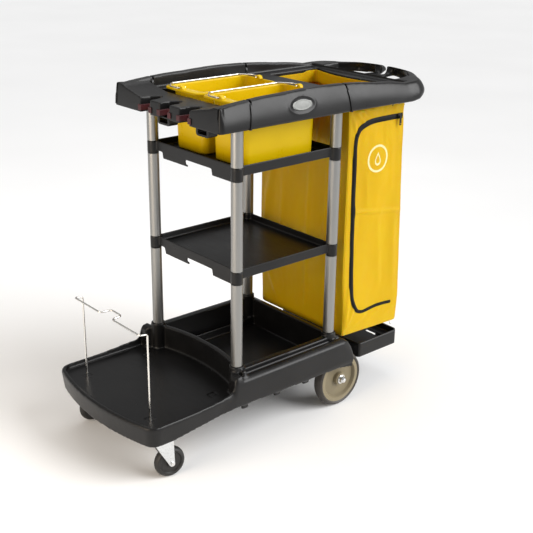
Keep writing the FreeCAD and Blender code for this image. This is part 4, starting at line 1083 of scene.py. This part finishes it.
def print_mark():
    """A plain ring with a water drop in it, printed on the bag's near side."""
    middle_x, middle_z = 0.371, 0.877
    outer, inner, count = 48.0, 40.5, 96
    shapes = []
    for i in range(count):
        a0, a1 = 2 * math.pi * i / count, 2 * math.pi * (i + 1) / count
        ends = ((inner, a0), (outer, a0), (outer, a1), (inner, a1))
        shapes.append([(radius * math.cos(angle), radius * math.sin(angle)) for radius, angle in ends])

    def drop(t, scale):
        """A drop's outline, t from 0 at its tip round to 1."""
        a = 2 * math.pi * t
        return (scale * 17.0 * math.sin(a) * math.sin(a / 2) ** 1.4, scale * (22.0 * math.cos(a) + 2.0) - 3.0)

    rows = 60
    for i in range(rows):
        t0, t1 = i / rows, (i + 1) / rows
        shapes.append([drop(t0, 0.72), drop(t0, 1.08), drop(t1, 1.08), drop(t1, 0.72)])
    points, faces = [], []
    for shape in shapes:
        start = len(points)
        for u, v in shape:
            hit, facing = on_bag(middle_x + u * MM, middle_z + v * MM)
            points.append(tuple(hit + facing * (0.3 * MM)))
        faces.append((start, start + 1, start + 2, start + 3))
    mark = mesh_piece("bag_print", points, faces)
    evened_faces(mark, 1e-5)
    ink = mark.modifiers.new("ink", "SOLIDIFY")
    ink.thickness = 0.25 * MM
    return applied(mark)


finished(print_mark(), "printed_ink", "chassis", slot="yellow_vinyl")

# The stiff wire loops that tie the bag's lower corners to the platform's rim, as (x, z) in millimetres.
TETHER = [(499, 246), (504, 243), (511, 240), (517, 232), (521, 220), (524, 208), (529, 201), (534, 204)]
TETHER_SIDE = 0.188

for side_name, side in SIDES:
    hook = nurbs(f"bag_tether_{side_name}", [(x * MM, side * TETHER_SIDE, z * MM) for x, z in TETHER])
    hook.data.bevel_depth = 1.1 * MM
    hook.data.bevel_resolution = 3
    hook.data.resolution_u = 8
    finished(hook, "bright_wire", "chassis")

thick = bag_piece.modifiers.new("skin", "SOLIDIFY")
thick.thickness = 1.6 * MM
thick.offset = -1.0
applied(bag_piece)
finished(smoothed(bag_piece, 70.0), "yellow_vinyl", "chassis", "waste_bag")


# ---------------- camera, floor and light

CAMERA_AT = (-2.0102, -2.3748, 1.7082)
CAMERA_ANGLES = (-41.2, 21.1, 0.8)


def place_camera():
    """The view direction and distance the object is pictured from: azimuth, elevation and roll."""
    azimuth, elevation, roll = (math.radians(a) for a in CAMERA_ANGLES)
    back = Vector((math.sin(azimuth) * math.cos(elevation), -math.cos(azimuth) * math.cos(elevation),
                   math.sin(elevation)))
    right = Vector((0, 0, 1)).cross(back).normalized()
    up = back.cross(right)
    across = right * math.cos(roll) + up * math.sin(roll)
    upward = up * math.cos(roll) - right * math.sin(roll)
    camera = collection_link(bpy.data.objects.new("camera", bpy.data.cameras.new("camera")))
    camera.matrix_world = Matrix((
        (across.x, upward.x, back.x, CAMERA_AT[0]),
        (across.y, upward.y, back.y, CAMERA_AT[1]),
        (across.z, upward.z, back.z, CAMERA_AT[2]),
        (0, 0, 0, 1),
    ))
    camera.data.sensor_width = 36.0
    camera.data.lens = 65.08
    camera.data.clip_start = 0.05
    bpy.context.scene.camera = camera


def light(kind, name, energy, aim):
    """A light of one kind that shines along aim."""
    lamp = collection_link(bpy.data.objects.new(name, bpy.data.lights.new(name, kind)))
    lamp.data.energy = energy
    lamp.rotation_euler = aim.to_track_quat("-Z", "Y").to_euler()
    return lamp


def area_light(name, at, toward, size, watts, tint=(1, 1, 1)):
    """A rectangular soft box at one point, facing another."""
    lamp = light("AREA", name, watts, Vector(toward) - Vector(at))
    lamp.location = at
    lamp.data.shape = "RECTANGLE"
    lamp.data.size, lamp.data.size_y = size
    lamp.data.color = tint


def soft_key(name, toward_light, strength, spread):
    """A broad soft source far away, seen from the object in the given direction."""
    lamp = light("SUN", name, strength, -Vector(toward_light))
    lamp.data.angle = math.radians(spread)


FLOOR_HALF = 60.0


def studio():
    """A plain pale floor, even surroundings and three soft lights."""
    ends = ((-1, -1), (1, -1), (1, 1), (-1, 1))
    floor = mesh_piece("studio_floor", [(x * FLOOR_HALF, y * FLOOR_HALF, 0) for x, y in ends], [(0, 1, 2, 3)])
    s = Shader("studio_floor")
    soft = s.noise(0.8, 2.0)
    pale = s.ramp(soft, [(0.3, (0.90, 0.90, 0.90)), (0.7, (0.92, 0.92, 0.92))])
    floor.data.materials.append(s.done(pale, s.spread(soft, 0.8, 0.9)))
    world = bpy.context.scene.world or bpy.data.worlds.new("studio")
    bpy.context.scene.world = world
    world.use_nodes = True
    surroundings = world.node_tree.nodes["Background"].inputs
    surroundings["Color"].default_value = (1.0, 1.0, 1.0, 1.0)
    surroundings["Strength"].default_value = 0.37
    soft_key("key", (0.55, -0.72, 0.52), 3.9, 50.0)
    area_light("top", (0.3, 0.6, 3.2), (0.1, 0.1, 0.6), (2.6, 2.2), 26)
    area_light("side", (-3.0, -0.2, 1.3), (0.1, 0.0, 0.6), (1.8, 1.8), 52, (1.0, 0.84, 0.66))


place_camera()
studio()
bpy.context.scene.view_settings.view_transform = "Standard"
